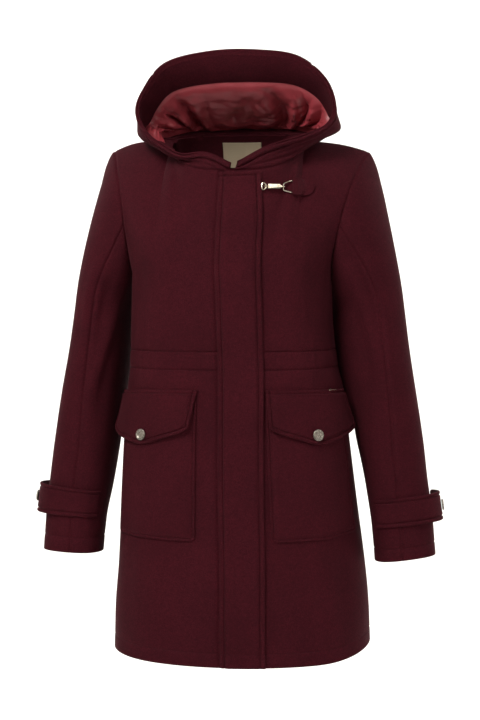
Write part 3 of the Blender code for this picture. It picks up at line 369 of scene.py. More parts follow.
def layOut(surface, rows, columns, across=61, steps=41):
    # rows and columns: the lines near the first edge, shares between, and the lines near the last
    lines = np.linspace(0, 1, across)
    lowReach = np.linspace(0, rows[1][0], steps)
    highReach = 1 - np.linspace(0, 1 - rows[1][-1], steps)
    low = sharesNear(surface(lines[:, None], lowReach[None, :]), rows[0], lowReach).T
    high = sharesNear(surface(lines[:, None], highReach[None, :]), rows[2], highReach).T[::-1]
    inside = np.repeat(np.array(rows[1])[:, None], len(lines), axis=1)
    bTable = np.concatenate([low, inside, high])

    def bAt(shares):
        return np.array([np.interp(shares, lines, row) for row in bTable])

    startReach = np.linspace(0, columns[1][0], steps)
    endReach = 1 - np.linspace(0, 1 - columns[1][-1], steps)
    start = sharesNear(surface(startReach[None, :], bAt(startReach)), columns[0], startReach)
    end = sharesNear(surface(endReach[None, :], bAt(endReach)), columns[2], endReach)[:, ::-1]
    middle = np.repeat(np.array(columns[1])[None, :], len(bTable), axis=0)
    a = np.concatenate([start, middle, end], axis=1)
    b = np.array([np.interp(a[i], lines, bTable[i]) for i in range(len(bTable))])
    return a, b


def insideShares(start, end, count, fixed=()):
    # even shares between two, moved so that each fixed one falls on a line
    shares = np.linspace(start, end, count)
    for at in fixed:
        shares[np.argmin(np.abs(shares - at))] = at
    return shares


def addLines(shares, lines, clear):  # more lines among the shares, which keep clear of them
    kept = [share for share in shares if min(abs(share - line) for line in lines) > clear]
    return np.array(sorted([*kept, *lines]))


def meshOf(name, points, faces, material, sharp=50.0, uv=None):
    mesh = bpy.data.meshes.new(name)
    mesh.from_pydata((np.asarray(points) * millimetre).tolist(), [], faces)
    if uv is not None:
        layer = mesh.uv_layers.new(name="cloth")
        corners = np.zeros(len(mesh.loops), dtype=np.int64)
        mesh.loops.foreach_get("vertex_index", corners)
        layer.data.foreach_set("uv", np.asarray(uv, np.float32)[corners].ravel())
    shape = bmesh.new()
    shape.from_mesh(mesh)
    bmesh.ops.remove_doubles(shape, verts=shape.verts[:], dist=1e-6)
    bmesh.ops.recalc_face_normals(shape, faces=shape.faces[:])
    if shape.calc_volume(signed=True) < 0:
        bmesh.ops.reverse_faces(shape, faces=shape.faces[:])
    shape.to_mesh(mesh)
    shape.free()
    mesh.shade_smooth()
    mesh.set_sharp_from_angle(angle=math.radians(sharp))
    mesh.materials.append(material)
    return linked(name, mesh)


def edgeDistances(points):
    acrossSteps = np.linalg.norm(np.diff(points, axis=1), axis=2)
    alongSteps = np.linalg.norm(np.diff(points, axis=0), axis=2)
    start = np.concatenate([np.zeros((points.shape[0], 1)), np.cumsum(acrossSteps, axis=1)], axis=1)
    low = np.concatenate([np.zeros((1, points.shape[1])), np.cumsum(alongSteps, axis=0)])
    return {"start": start, "end": start[:, -1:] - start, "low": low, "high": low[-1:] - low}


def layPiece(name, surface, sign, shape):
    # a piece's outer points, on the lines of its shape, which wallOf makes
    a, b = layOut(surface, shape["rows"], shape["columns"])
    points = surface(a, b)
    normals = outwards(surface, a, b, sign, 2e-3, (0, 1), (0, 1))
    away = edgeDistances(points)
    return {"name": name, "shape": shape, "points": points, "normals": normals, "away": away, "a": a, "b": b}


whole = slice(None)
edgeSlice = {"low": (0, whole), "high": (-1, whole), "start": (whole, 0), "end": (whole, -1)}
folded = dict.fromkeys(edgeSlice, "fold")  # the edges of a piece that is turned in all round


def wallOf(thick, rows, columns, stitched=(), edges=folded):
    return {"thick": thick, "rows": rows, "columns": columns, "stitched": stitched, "edges": edges}


def mitreSeams(pieces, reach=8.0, near=6.5):
    # sewn edges that meet share the direction of their thickness, so that their walls meet on a mitre
    borders = []
    for number, piece in enumerate(pieces):
        for edge, style in piece["shape"]["edges"].items():
            if style == "seam":
                at = edgeSlice[edge]
                borders.append((number, edge, piece["points"][at], piece["normals"][at]))
    shared = []
    for number, edge, points, normals in borders:
        total = normals.copy()
        for other, _, otherPoints, otherNormals in borders:
            if other == number:
                continue
            apart = np.linalg.norm(points[:, None] - otherPoints[None], axis=-1)
            close = np.argmin(apart, axis=1)
            touching = apart[np.arange(len(points)), close] < near
            total += otherNormals[close] * touching[:, None]
        shared.append((pieces[number], edge, unit(total)))
    for piece, edge, total in shared:
        total = total[None, :] if edge in ("low", "high") else total[:, None]
        weight = (1 - ease(piece["away"][edge] / reach))[..., None]
        piece["normals"] = unit(piece["normals"] * (1 - weight) + total * weight)


def buildPiece(piece, material):
    # a closed thin wall, rounded over at folded edges and drawn in at seams and stitched lines
    shape, points, normals, away = (piece[key] for key in ("shape", "points", "normals", "away"))
    thick = shape["thick"]
    half = np.full(points.shape[:2], thick / 2)
    groove = np.zeros(points.shape[:2])
    for edge, style in shape["edges"].items():
        if style == "fold":
            turn = np.clip(away[edge] / (thick * edgeRound), 0, 1)
            half = half * np.sqrt(np.clip(1 - (1 - turn) ** 2, 0, 1))
        else:
            groove = np.maximum(groove, np.exp(-((away[edge] / seam["width"]) ** 2)))
    relief = -seam["depth"] * groove
    for line in shape["stitched"]:
        nearest = np.min([away[edge] for edge in line["edges"]], axis=0)
        off, puff = nearest - line["at"], line.get("puff", 0.0)
        drawn = stitchedLine["depth"] * line["depth"] * np.exp(-((off / stitchedLine["halfWidth"]) ** 2))
        relief = relief - drawn
        # it puffs up between the edge and the stitches, and half as much beyond them
        relief = relief + puff * np.sin(np.pi * np.clip(nearest / line["at"], 0, 1))
        relief = relief + 0.5 * puff * np.sin(np.pi * np.clip(off / line["at"], 0, 1))
    outer = points + normals * (half - thick / 2 + relief)[..., None]
    inner = points - normals * (half + thick / 2 - innerShare * relief)[..., None]
    rows, columns = half.shape
    index = np.arange(rows * columns).reshape(rows, columns)
    back = index + rows * columns
    faces = []
    for i in range(rows - 1):
        for j in range(columns - 1):
            faces.append((index[i, j], index[i, j + 1], index[i + 1, j + 1], index[i + 1, j]))
            faces.append((back[i, j], back[i + 1, j], back[i + 1, j + 1], back[i, j + 1]))
    for line, twin in ((index[0], back[0]), (index[-1][::-1], back[-1][::-1])):
        for j in range(columns - 1):
            faces.append((line[j], twin[j], twin[j + 1], line[j + 1]))
    for line, twin in ((index[::-1, 0], back[::-1, 0]), (index[:, -1], back[:, -1])):
        for i in range(rows - 1):
            faces.append((line[i], twin[i], twin[i + 1], line[i + 1]))
    faces = np.array(faces).tolist()
    flat = np.stack([away["start"], away["low"]], axis=-1).reshape(-1, 2) * millimetre
    both = np.concatenate([outer.reshape(-1, 3), inner.reshape(-1, 3)])
    piece["object"] = meshOf(piece["name"], both, faces, material, uv=np.concatenate([flat, flat]))
    piece["points"] = outer  # stitches and buttons are laid on these
    return piece


def clothPiece(name, surface, sign, shape, material):  # a piece that no other is sewn edge to edge with
    return buildPiece(layPiece(name, surface, sign, shape), material)


def lineAt(piece, edge, distance, starts=0.0, ends=0.0):
    # the outer face's points at a distance from one edge, stopping short of its two neighbours
    away = piece["away"]
    if edge in ("low", "high"):
        row = int(np.argmin(np.abs(away[edge][:, away[edge].shape[1] // 2] - distance)))
        picked, normals = piece["points"][row], piece["normals"][row]
        first, last = away["start"][row], away["end"][row]
    else:
        column = int(np.argmin(np.abs(away[edge][away[edge].shape[0] // 2] - distance)))
        picked, normals = piece["points"][:, column], piece["normals"][:, column]
        first, last = away["low"][:, column], away["high"][:, column]
    keep = (first >= starts - 1e-6) & (last >= ends - 1e-6)
    return picked[keep], normals[keep]


def toLinear(hexColour):
    channels = [int(hexColour[i : i + 2], 16) / 255 for i in (1, 3, 5)]
    return tuple(c / 12.92 if c <= 0.04045 else ((c + 0.055) / 1.055) ** 2.4 for c in channels)


def newMaterial(name):
    material = bpy.data.materials.new(name)
    material.use_nodes = True
    tree = material.node_tree
    return material, tree, tree.nodes["Principled BSDF"]


def setInputs(node, values):
    for key, value in values.items():
        node.inputs[key].default_value = value


def addNode(tree, kind, settings=None, values=None, links=None):
    node = tree.nodes.new(kind)
    for key, value in (settings or {}).items():
        setattr(node, key, value)
    setInputs(node, values or {})
    for key, socket in (links or {}).items():
        tree.links.new(socket, node.inputs[key])
    return node


def noiseOf(tree, vector, size, detail, roughness=0.5):  # cloudy noise of a size in millimetres
    values = {"Scale": 1000 / size, "Detail": detail, "Roughness": roughness}
    return addNode(tree, "ShaderNodeTexNoise", values=values, links={"Vector": vector}).outputs["Fac"]


def ribsOf(tree, vector, direction, size, distortion, detail):  # threads side by side, at that spacing
    values = {"Scale": 314 / size, "Distortion": distortion, "Detail": detail}
    bands = {"wave_type": "BANDS", "bands_direction": direction}
    return addNode(tree, "ShaderNodeTexWave", bands, values, {"Vector": vector}).outputs["Fac"]


def colourBy(tree, shader, share, stops):  # the base colour, blended between stops
    node = addNode(tree, "ShaderNodeValToRGB", links={"Fac": share})
    ramp = node.color_ramp
    while len(ramp.elements) > 1:
        ramp.elements.remove(ramp.elements[-1])
    ramp.elements[0].position = stops[0][0]
    ramp.elements[0].color = (*toLinear(stops[0][1]), 1)
    for place, colour in stops[1:]:
        ramp.elements.new(place).color = (*toLinear(colour), 1)
    tree.links.new(node.outputs["Color"], shader.inputs["Base Color"])


def raiseBy(tree, shader, height, strength, distance):  # fine relief, its depth in millimetres
    bump = addNode(tree, "ShaderNodeBump", values={"Strength": strength, "Distance": distance * millimetre},
                   links={"Height": height})
    tree.links.new(bump.outputs["Normal"], shader.inputs["Normal"])


melton = {
    "dark": "#340e15",
    "middle": "#3d1119",
    "light": "#48151e",
    "sheen": "#c4707c",
    "fibreSize": 1.6,  # millimetres: coarser than the real nap, so that it still shows at this scale
    "tuftSize": 5.0,
    "tuftShare": 0.35,
    "cloudSize": 60.0,
    "cloudShare": 0.25,
    "napDepth": 0.5,
}


def makeMelton(name, settings):
    # Wool melton: woven, then milled until the weave is gone. It gives a matt, faintly speckled face
    # with a soft nap that catches light at grazing angles.
    material, tree, shader = newMaterial(name)
    place = addNode(tree, "ShaderNodeTexCoord").outputs["Object"]
    fibre = noiseOf(tree, place, settings["fibreSize"], 3, 0.6)
    tuft = noiseOf(tree, place, settings["tuftSize"], 2, 0.6)
    cloud = noiseOf(tree, place, settings["cloudSize"], 2, 0.6)
    tufted = addNode(tree, "ShaderNodeMath", {"operation": "MULTIPLY_ADD"}, {1: settings["tuftShare"]},
                     {0: tuft, 2: fibre}).outputs[0]
    blend = addNode(tree, "ShaderNodeMath", {"operation": "MULTIPLY_ADD"}, {1: settings["cloudShare"]},
                    {0: cloud, 2: tufted}).outputs[0]
    evened = addNode(tree, "ShaderNodeMapRange", values={"From Min": 0.6, "From Max": 1.0},
                     links={"Value": blend}).outputs["Result"]
    colourBy(tree, shader, evened,
             ((0.1, settings["dark"]), (0.5, settings["middle"]), (0.9, settings["light"])))
    raiseBy(tree, shader, tufted, 0.55, settings["napDepth"])
    setInputs(shader, {
        "Roughness": 0.92,
        "IOR": 1.45,
        "Specular IOR Level": 0.1,
        "Sheen Weight": 0.06,
        "Sheen Roughness": 0.4,
        "Sheen Tint": (*toLinear(settings["sheen"]), 1),
    })
    return material


satinCloth = {
    "dark": "#96373f",
    "light": "#a8424b",
    "threadSize": 1.8,  # millimetres between ribs, drawn coarser than the real weft
    "cloudSize": 30.0,
}


def makeSatin(name, settings):
    # Lining satin: long floating warp threads give a soft shine along one way of the cloth.
    material, tree, shader = newMaterial(name)
    flat = addNode(tree, "ShaderNodeUVMap", {"uv_map": "cloth"}).outputs["UV"]
    cloud = noiseOf(tree, flat, settings["cloudSize"], 3)
    colourBy(tree, shader, cloud, ((0.3, settings["dark"]), (0.7, settings["light"])))
    raiseBy(tree, shader, ribsOf(tree, flat, "X", settings["threadSize"], 1.5, 2), 0.25, 0.15)
    setInputs(shader, {"Roughness": 0.34, "Specular IOR Level": 0.5})
    return material


labelWeave = {"dark": "#ab9c82", "light": "#bdae92", "threadSize": 1.6}  # ribs drawn coarser than real


def makeLabelWeave(name, settings):
    # Woven label: a tight taffeta of polyester yarn, dull with a faint crosswise rib.
    material, tree, shader = newMaterial(name)
    flat = addNode(tree, "ShaderNodeUVMap", {"uv_map": "cloth"}).outputs["UV"]
    rib = ribsOf(tree, flat, "Y", settings["threadSize"], 0.6, 2)
    colourBy(tree, shader, rib, ((0.2, settings["dark"]), (0.8, settings["light"])))
    raiseBy(tree, shader, rib, 0.3, 0.15)
    setInputs(shader, {"Roughness": 0.7})
    return material


# the thread's colour is painted darker than the wool, standing in for the shade in the stitched grooves
grooveShadedThread = {"colour": "#270a10", "twistSize": 0.4}


def makeThread(name, settings):
    # Spun polyester thread, burgundy like the cloth but painted darker than it as shade in the stitched
    # grooves: a little smoother and shinier than the wool.
    material, tree, shader = newMaterial(name)
    place = addNode(tree, "ShaderNodeTexCoord").outputs["Object"]
    raiseBy(tree, shader, noiseOf(tree, place, settings["twistSize"], 1), 0.3, 0.1)
    colour = (*toLinear(settings["colour"]), 1)
    setInputs(shader, {"Base Color": colour, "Roughness": 0.7, "Specular IOR Level": 0.15})
    return material


metals = {
    "nickel": {"light": "#b9b2a6", "dark": "#5b554e", "patchSize": 2.2, "roughness": (0.26, 0.5)},
    "paleGold": {"light": "#f5eedb", "dark": "#d0c3a4", "patchSize": 4.0, "roughness": (0.16, 0.3)},
}


def makeMetal(name, settings):
    # Cast zinc with a plated finish: bright on its high places, duller where it has been handled.
    material, tree, shader = newMaterial(name)
    place = addNode(tree, "ShaderNodeTexCoord").outputs["Object"]
    patch = noiseOf(tree, place, settings["patchSize"], 4)
    colourBy(tree, shader, patch, ((0.3, settings["dark"]), (0.62, settings["light"])))
    low, high = settings["roughness"]
    worn = addNode(tree, "ShaderNodeMapRange", values={"To Min": high, "To Max": low},
                   links={"Value": patch})
    tree.links.new(worn.outputs["Result"], shader.inputs["Roughness"])
    shader.inputs["Metallic"].default_value = 1.0
    return material


woolMelton = makeMelton("Burgundy wool melton", melton)
liningSatin = makeSatin("Burgundy lining satin", satinCloth)
labelCloth = makeLabelWeave("Beige woven label", labelWeave)
threadMaterial = makeThread("Burgundy polyester thread, painted groove shade", grooveShadedThread)
antiqueNickel = makeMetal("Antique nickel plate", metals["nickel"])
paleGold = makeMetal("Pale gold plate", metals["paleGold"])
print("materials made")


wool = 2.4
stitchRows = {"body": [], "sleeves": [], "hood": [], "trim": []}


def sew(word, made, *lines):  # each line: its edge, how far in, and how far it stops short of both ends
    stitchRows[word] += [lineAt(made, *line) for line in lines]


def dress(thing, slot, *nodes):
    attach(thing, "root")
    if nodes:
        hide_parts(*nodes)


hem = {"stitchAt": 22.0, "depth": 0.55}
seamSample = np.linspace(0, 2, 161)
flyFront = {
    "seam": -21.0,
    "edge": 51.0,
    "edgeTop": 45.0,
    "topRow": 1.985,
    "length": 790.0,
    "lift": 4.2,
    "liftRun": 14.0,
    "wave": 0.5,
    "seamStitch": 9.0,
    "edgeStitch": 8.0,
    "topStitch": 5.5,
    "corner": 7.0,
    "thick": 2.8,
}
underlapEdge = -8.0
seamU = frontU(np.full(seamSample.shape, flyFront["seam"]), seamSample)
underlapU = frontU(np.full(seamSample.shape, underlapEdge), seamSample)


def frontSurface(side, startU):
    neckEnd = side * coat["neckShare"]

    def surface(a, b):  # the first half runs to the neck's end and the second to the side
        a, b = np.broadcast_arrays(a, b)
        start = np.interp(b * 2, seamSample, startU)
        u = np.where(a < 0.5, start + (neckEnd - start) * a * 2, neckEnd + (side - neckEnd) * (a * 2 - 1))
        return bodySurface(u, b * 2, -1)

    return surface


def backSurface(a, b):
    a, b = np.broadcast_arrays(a, b)
    u = np.interp(a, (0, 0.25, 0.5, 0.75, 1), (-1, -coat["neckShare"], 0, coat["neckShare"], 1))
    return bodySurface(u, b * 2, 1)


hemStitch = {"edges": ("low",), "at": hem["stitchAt"], "depth": hem["depth"]}
nearStitch = (-3.4, -1.9, -0.9, 0, 0.9, 1.9, 3.4)
waistLines = [(row + off / waist["tall"]) / 2 for row in waist["rows"] for off in nearStitch]
bodyShares = addLines(insideShares(0.045, 0.985, 150, (0.5,)), waistLines, 0.0011)
bodyRows = (nearLines("fold", (hem["stitchAt"],)), bodyShares, seamRound)
bodyEdges = {"low": "fold", "high": "seam", "start": "seam", "end": "seam"}
frontShares = insideShares(0.04, 0.985, 66, (0.5,))
backShares = insideShares(0.012, 0.988, 130, (0.25, 0.5, 0.75))
frontShape, backShape = (
    wallOf(wool, bodyRows, (seamRound, shares, seamRound), (hemStitch,), bodyEdges)
    for shares in (frontShares, backShares)
)

frontRight = layPiece("coat_front_right", frontSurface(-1, seamU), -1, frontShape)
frontLeft = layPiece("coat_front_left", frontSurface(1, underlapU), 1, frontShape)
back = layPiece("coat_back", backSurface, -1, backShape)
print("body panels laid out")


def roundedCorner(x, y, radius):  # x and y measured from two edges; the corner between them is rounded
    inCorner = (x < radius) & (y < radius)
    p = np.clip(1 - x / radius, 0, 1)
    q = np.clip(1 - y / radius, 0, 1)
    shrink = np.maximum(p, q) / np.maximum(np.hypot(p, q), 1e-9)
    return np.where(inCorner, radius * (1 - p * shrink), x), np.where(inCorner, radius * (1 - q * shrink), y)


def flySurface(a, b):
    a, b = np.broadcast_arrays(a, b)
    v = b * flyFront["topRow"]
    edge = flyFront["edgeTop"] + (flyFront["edge"] - flyFront["edgeTop"]) * ease((2 - v) / 0.6)
    x = flyFront["seam"] + (edge - flyFront["seam"]) * a
    # the free top corner is rounded
    fromEdge, fromTop = roundedCorner(edge - x, (1 - b) * flyFront["length"], flyFront["corner"])
    x, v = edge - fromEdge, flyFront["topRow"] * (1 - fromTop / flyFront["length"])
    lift = flyFront["lift"] * ease((x - flyFront["seam"]) / flyFront["liftRun"])
    lift = lift + flyFront["wave"] * np.sin(v * 7.3 + 1.0) * ease(a * 2) * ease((1 - a) * 2)
    return layOnBody(frontU(x, v), v, -1, lift)


flyShape = wallOf(
    flyFront["thick"],
    (nearLines("fold", (hem["stitchAt"],)), insideShares(0.045, 0.98, 130),
     nearLines("fold", (flyFront["topStitch"],))),
    (nearLines("seam", (flyFront["seamStitch"],)), insideShares(0.2, 0.8, 9),
     nearLines("fold", (flyFront["edgeStitch"],))),
    (
        hemStitch,
        {"edges": ("end", "high"), "at": flyFront["edgeStitch"], "depth": 1.3, "puff": 1.1},
        {"edges": ("start",), "at": flyFront["seamStitch"], "depth": 1.2, "puff": 1.7},
    ),
    {"low": "fold", "high": "fold", "start": "seam", "end": "fold"},
)
fly = layPiece("coat_fly_front", flySurface, 1, flyShape)
print("fly laid out")


sleeves = {
    # down the arm: z, centre x and y, half sizes across and front to back, turn and tilt in degrees
    1: (
        (-275, 212, 12, 43, 73, 18, 12),
        (-340, 221, 9, 44, 71, 19, 9),
        (-410, 232, 4, 46, 66, 18, 8),
        (-485, 243, -3, 49, 60, 16, 7),
        (-550, 253, -11, 48, 55, 14, 7),
        (-610, 262, -19, 48, 50, 12, 7),
        (-668, 267, -26, 48, 47, 10, 7),
    ),
    -1: (
        (-275, 220, 12, 37, 75, 14, 12),
        (-340, 228, 9, 40, 72, 15, 9),
        (-410, 239, 4, 44, 67, 15, 8),
        (-485, 249, -3, 48, 60, 14, 7),
        (-550, 258, -11, 48, 55, 13, 7),
        (-604, 265, -19, 47, 50, 12, 4),
        (-663, 269, -26, 47, 47, 10, 3),
    ),
    "boxiness": 0.03,
    "capStart": ((0.00, 8, 0, -60), (0.25, 40, -14, -95), (0.50, 74, 0, -66), (0.75, 40, 14, -95)),
    "capEnd": ((0.00, 4, 0, -70), (0.25, 14, 0, -170), (0.50, 36, 0, -260), (0.75, 14, 0, -170)),
    "seamTurn": 3 / 14,
    "cuffStitch": {-1: 25.0, 1: 20.0},
    "girth": 380.0,
}
# Each crease's path is (round the arm from the underarm to the front, height); widths in millimetres
sleeveCreases = {
    -1: (
        (((92, -150), (98, -230), (95, -330), (99, -420)), (9, 14), 3.0),
        (((190, -70), (190, -230), (190, -470)), (60, 50), 7.5),
        (((62, -215), (58, -262), (66, -320)), (15, 13), -5.0),
        (((18, -236), (34, -290), (52, -350), (70, -420)), (10, 14), 4.0),
        (((30, -330), (42, -400), (50, -470)), (11, 16), -3.2),
        (((118, -480), (100, -520), (80, -548)), (14, 10), 1.8),
        (((64, -470), (84, -500), (104, -512)), (10, 13), -1.6),
        (((150, -230), (158, -330), (150, -450)), (24, 20), -1.4),
        (((205, -120), (214, -220), (206, -330)), (26, 18), 1.8),
        (((262, -190), (280, -260), (296, -330)), (13, 18), -3.6),
        (((300, -260), (288, -330), (268, -400)), (16, 12), 3.0),
        (((340, -240), (322, -300), (300, -380)), (10, 14), -3.4),
        (((240, -420), (262, -450), (290, -462)), (12, 10), -2.4),
        (((236, -456), (264, -484), (296, -490)), (13, 11), 2.2),
        (((250, -520), (240, -570), (246, -620)), (16, 12), -1.6),
        (((322, -480), (330, -560), (326, -630)), (18, 14), 1.8),
    ),
    1: (
        (((74, -170), (66, -240), (64, -330)), (12, 15), -5.0),
        (((-20, -200), (-18, -290), (-16, -380), (-8, -465)), (42, 38), 20.0),
        (((360, -200), (362, -290), (364, -380), (372, -465)), (42, 38), 20.0),
        (((190, -70), (190, -230), (190, -470)), (60, 50), 5.5),
        (((96, -200), (88, -300), (84, -400), (90, -470)), (14, 18), 3.0),
        (((34, -260), (42, -330), (46, -410)), (11, 14), -3.6),
        (((104, -470), (84, -520), (66, -548)), (12, 14), 1.8),
        (((118, -440), (94, -478), (70, -500)), (11, 9), -1.6),
        (((146, -250), (150, -350), (142, -460)), (22, 26), -1.5),
        (((200, -130), (206, -240), (198, -340)), (24, 20), 1.6),
        (((258, -180), (274, -250), (292, -320)), (14, 17), -3.4),
        (((296, -250), (286, -320), (270, -390)), (15, 12), 2.8),
        (((338, -250), (324, -310), (306, -370)), (11, 13), -3.0),
        (((244, -410), (266, -436), (292, -444)), (11, 12), -2.2),
        (((238, -440), (262, -470), (290, -478)), (13, 12), 2.0),
        (((316, -470), (324, -550), (320, -640)), (17, 13), 1.8),
    ),
}


def armholePoint(k, side):
    front = bodyPoint(np.full(k.shape, float(side)), 1 + 2 * np.minimum(k, 0.5), -1)
    behind = bodyPoint(np.full(k.shape, float(side)), 3 - 2 * np.maximum(k, 0.5), 1)
    return np.where((k <= 0.5)[..., None], front, behind)


def sleeveRing(row, k, z, side):
    angle = 2 * math.pi * k
    box = sleeves["boxiness"]
    across = -((1 + box) * np.cos(angle) - box * np.cos(3 * angle)) * row[..., 2]
    deep = -((1 + box) * np.sin(angle) + box * np.sin(3 * angle)) * row[..., 3]
    turn = np.radians(row[..., 4])
    x = across * np.cos(turn) - deep * np.sin(turn)
    y = across * np.sin(turn) + deep * np.cos(turn)
    point = np.stack([row[..., 0] + x, row[..., 1] + y, z + x * np.tan(np.radians(row[..., 5]))], axis=-1)
    return mirrorX(point, side)


def around(rows, k):
    rows = list(rows)
    before = (rows[-1][0] - 1.0, *rows[-1][1:])
    after = [(1.0 + row[0], *row[1:]) for row in rows[:2]]
    return readTable([before, *rows, *after], k)


def sleevePoint(k, v, side):  # v is 0 at the armhole, 1 at the end of the sleeve cap and 2 at the cuff
    k, v = np.broadcast_arrays(k, v)
    k = np.mod(k, 1.0)
    rows = sleeves[side]
    tallest, lowest = rows[0][0], rows[-1][0]
    first = np.broadcast_to(np.array(rows[0][1:], float), (*k.shape, 6))
    start = armholePoint(k, side)
    end = sleeveRing(first, k, np.full(k.shape, float(tallest)), side)
    pullStart = mirrorX(around(sleeves["capStart"], k), side)
    pullEnd = mirrorX(around(sleeves["capEnd"], k), side)
    cap = bezier(start, start + pullStart / 3, end - pullEnd / 3, end, np.clip(v, 0, 1)[..., None])
    z = tallest + (lowest - tallest) * np.clip(v - 1, 0, 1)
    lower = sleeveRing(readTable(rows, z), k, z, side)
    return np.where((v <= 1)[..., None], cap, lower)


def sleeveSurface(k, v, side):
    k, v = np.broadcast_arrays(k, v)
    point = sleevePoint(k, v, side)
    out = outwards(lambda a, b: sleevePoint(a, b, side), k, v, -side)
    turn = np.mod(k, 1.0) * sleeves["girth"]
    relief = creaseDepth(sleeveCreases[side], turn, point[..., 2])
    fade = ease(v / 0.25) * ease((2 - v) / 0.2)
    return point + out * (relief * fade)[..., None]


def sleevePieces(side, word):
    turn = sleeves["seamTurn"]
    parts = {
        "upper": (lambda a, b: sleeveSurface(turn + (1 - 2 * turn) * a, b * 2, side), 66),
        "under": (lambda a, b: sleeveSurface(-turn + 2 * turn * a, b * 2, side), 46),
    }
    made = {}
    stitch = sleeves["cuffStitch"][side]
    for part, (surface, count) in parts.items():
        shape = wallOf(
            wool,
            (seamRound, insideShares(0.02, 0.93, 120), nearLines("fold", (stitch,))),
            (seamRound, insideShares(0.03, 0.97, count, (0.5,)), seamRound),
            ({"edges": ("high",), "at": stitch, "depth": 0.8},),
            {"low": "seam", "high": "fold", "start": "seam", "end": "seam"},
        )
        made[part] = layPiece(f"sleeve_{part}_{word}", surface, -side, shape)
    return made


sleevePiece = {side: sleevePieces(side, word) for side, word in sides}
print("sleeves laid out")


hood = {
    "rim": (
        (0, -123, -52), (-39, -120, -34), (-79, -113, -37), (-110, -103, -21), (-138, -92, 1),
        (-157, -78, 36), (-149, -66, 73), (-115, -54, 118), (-43, -46, 137), (34, -45, 138),
        (99, -50, 126), (143, -62, 87), (158, -76, 40), (145, -88, 11), (114, -98, -6), (80, -106, -17),
        (45, -115, -28), (8, -123, -50),
    ),
    "top": 8.5,
    "neckPoint": 4.0,
    "end": 17.0,
    # station, then the pulls at the rim (out, back, up) and at the neck seam (out, back, up)
    "handles": (
        (0.0, 0, 2, -3, 0, 0, 3),
        (1.0, 2, 5, -8, 2, 0, 8),
        (2.0, 8, 14, -4, 10, 2, 8),
        (3.0, 22, 24, -2, 20, -8, 8),
        (4.0, 34, 38, 4, 58, 4, 4),
        (5.0, 4, 46, -4, 52, 20, 0),
        (6.0, -12, 50, -27, 44, 42, 14),
        (7.0, -10, 44, -68, 36, 74, 26),
        (8.5, 0, 34, -98, 0, 96, 40),
    ),
    "start": 0.07,
    "seamStation": 46 / 7,
    "rimStitch": 8.5,
    "thick": 2.6,
    "inside": 4.2,
    "rimClear": 2.8,
    "frontGap": 1.2,
    "facingWidth": 56.0,
    "facingFront": 0.8,
    "facingFrontEnd": 2.9,  # the station where the facing narrows from the front's depth
    "facingRun": 0.6,
    "facingSide": 0.06,
    "facingSideAt": 5.3,
    "liningEnd": 0.87,
    "bandW": (0.90, 0.985),
    "bandThick": 1.8,
}
# Creases over the hood run over (station x 36, share of the way down x 220), which is about millimetres
hoodScale = (36, 220)
hoodCreases = (
    (((20, 150), (60, 140), (100, 150), (136, 170)), (16, 20), -3.0),
    (((70, 90), (110, 96), (150, 110)), (14, 12), 1.8),
    (((150, 150), (176, 120), (200, 100)), (14, 18), -3.0),
    (((180, 176), (214, 150), (250, 140)), (16, 20), 3.2),
    (((236, 190), (262, 160), (300, 150)), (14, 12), -3.0),
    (((300, 110), (310, 150), (304, 190)), (18, 14), 2.4),
    (((352, 110), (366, 150), (358, 190)), (16, 18), -2.6),
    (((400, 150), (424, 160), (450, 190)), (14, 16), 2.8),
    (((430, 110), (462, 130), (490, 160)), (12, 18), -3.2),
    (((486, 150), (500, 168), (530, 180)), (12, 14), 2.4),
    (((500, 60), (530, 80), (566, 96)), (12, 12), -2.0),
    (((520, 150), (556, 140), (590, 150)), (14, 16), -3.0),
)


def neckSeam(station):
    half = np.minimum(station, hood["end"] - station)
    front = along(coat["neckFront"], np.clip(half / hood["neckPoint"], 0, 1) * 5)
    share = (half - hood["neckPoint"]) / (hood["top"] - hood["neckPoint"])
    behind = along(coat["neckBack"], np.clip(share, 0, 1) * 3)
    point = np.where((half <= hood["neckPoint"])[..., None], front, behind)
    return mirrorX(point, np.where(station <= hood["top"], -1.0, 1.0))


def hoodPoint(station, w):
    station, w = np.broadcast_arrays(station, w)
    side = np.where(station <= hood["top"], -1.0, 1.0)
    half = np.minimum(station, hood["end"] - station)
    rim, neck = along(hood["rim"], station), neckSeam(station)
    pulls = readTable(hood["handles"], half)
    rimPull, neckPull = mirrorX(pulls[..., :3], side), mirrorX(pulls[..., 3:], side)
    return bezier(rim, rim + rimPull, neck + neckPull, neck, w[..., None])


def hoodNormal(station, w):
    return outwards(hoodPoint, station, w, 1, limitsA=(-99, 99), limitsB=(0, 1))


def hoodSurface(station, w):
    station, w = np.broadcast_arrays(station, w)
    relief = creaseDepth(hoodCreases, station * hoodScale[0], w * hoodScale[1])
    relief = relief * ease(w / 0.2) * ease((1 - w) / 0.1)
    return hoodPoint(station, w) + hoodNormal(station, w) * relief[..., None]


def hoodPanelSurface(first, last):
    return lambda a, b: hoodSurface(first + (last - first) * a, b)


hoodRows = (nearLines("fold", (hood["rimStitch"],)), insideShares(0.12, 0.97, 44), seamRound)
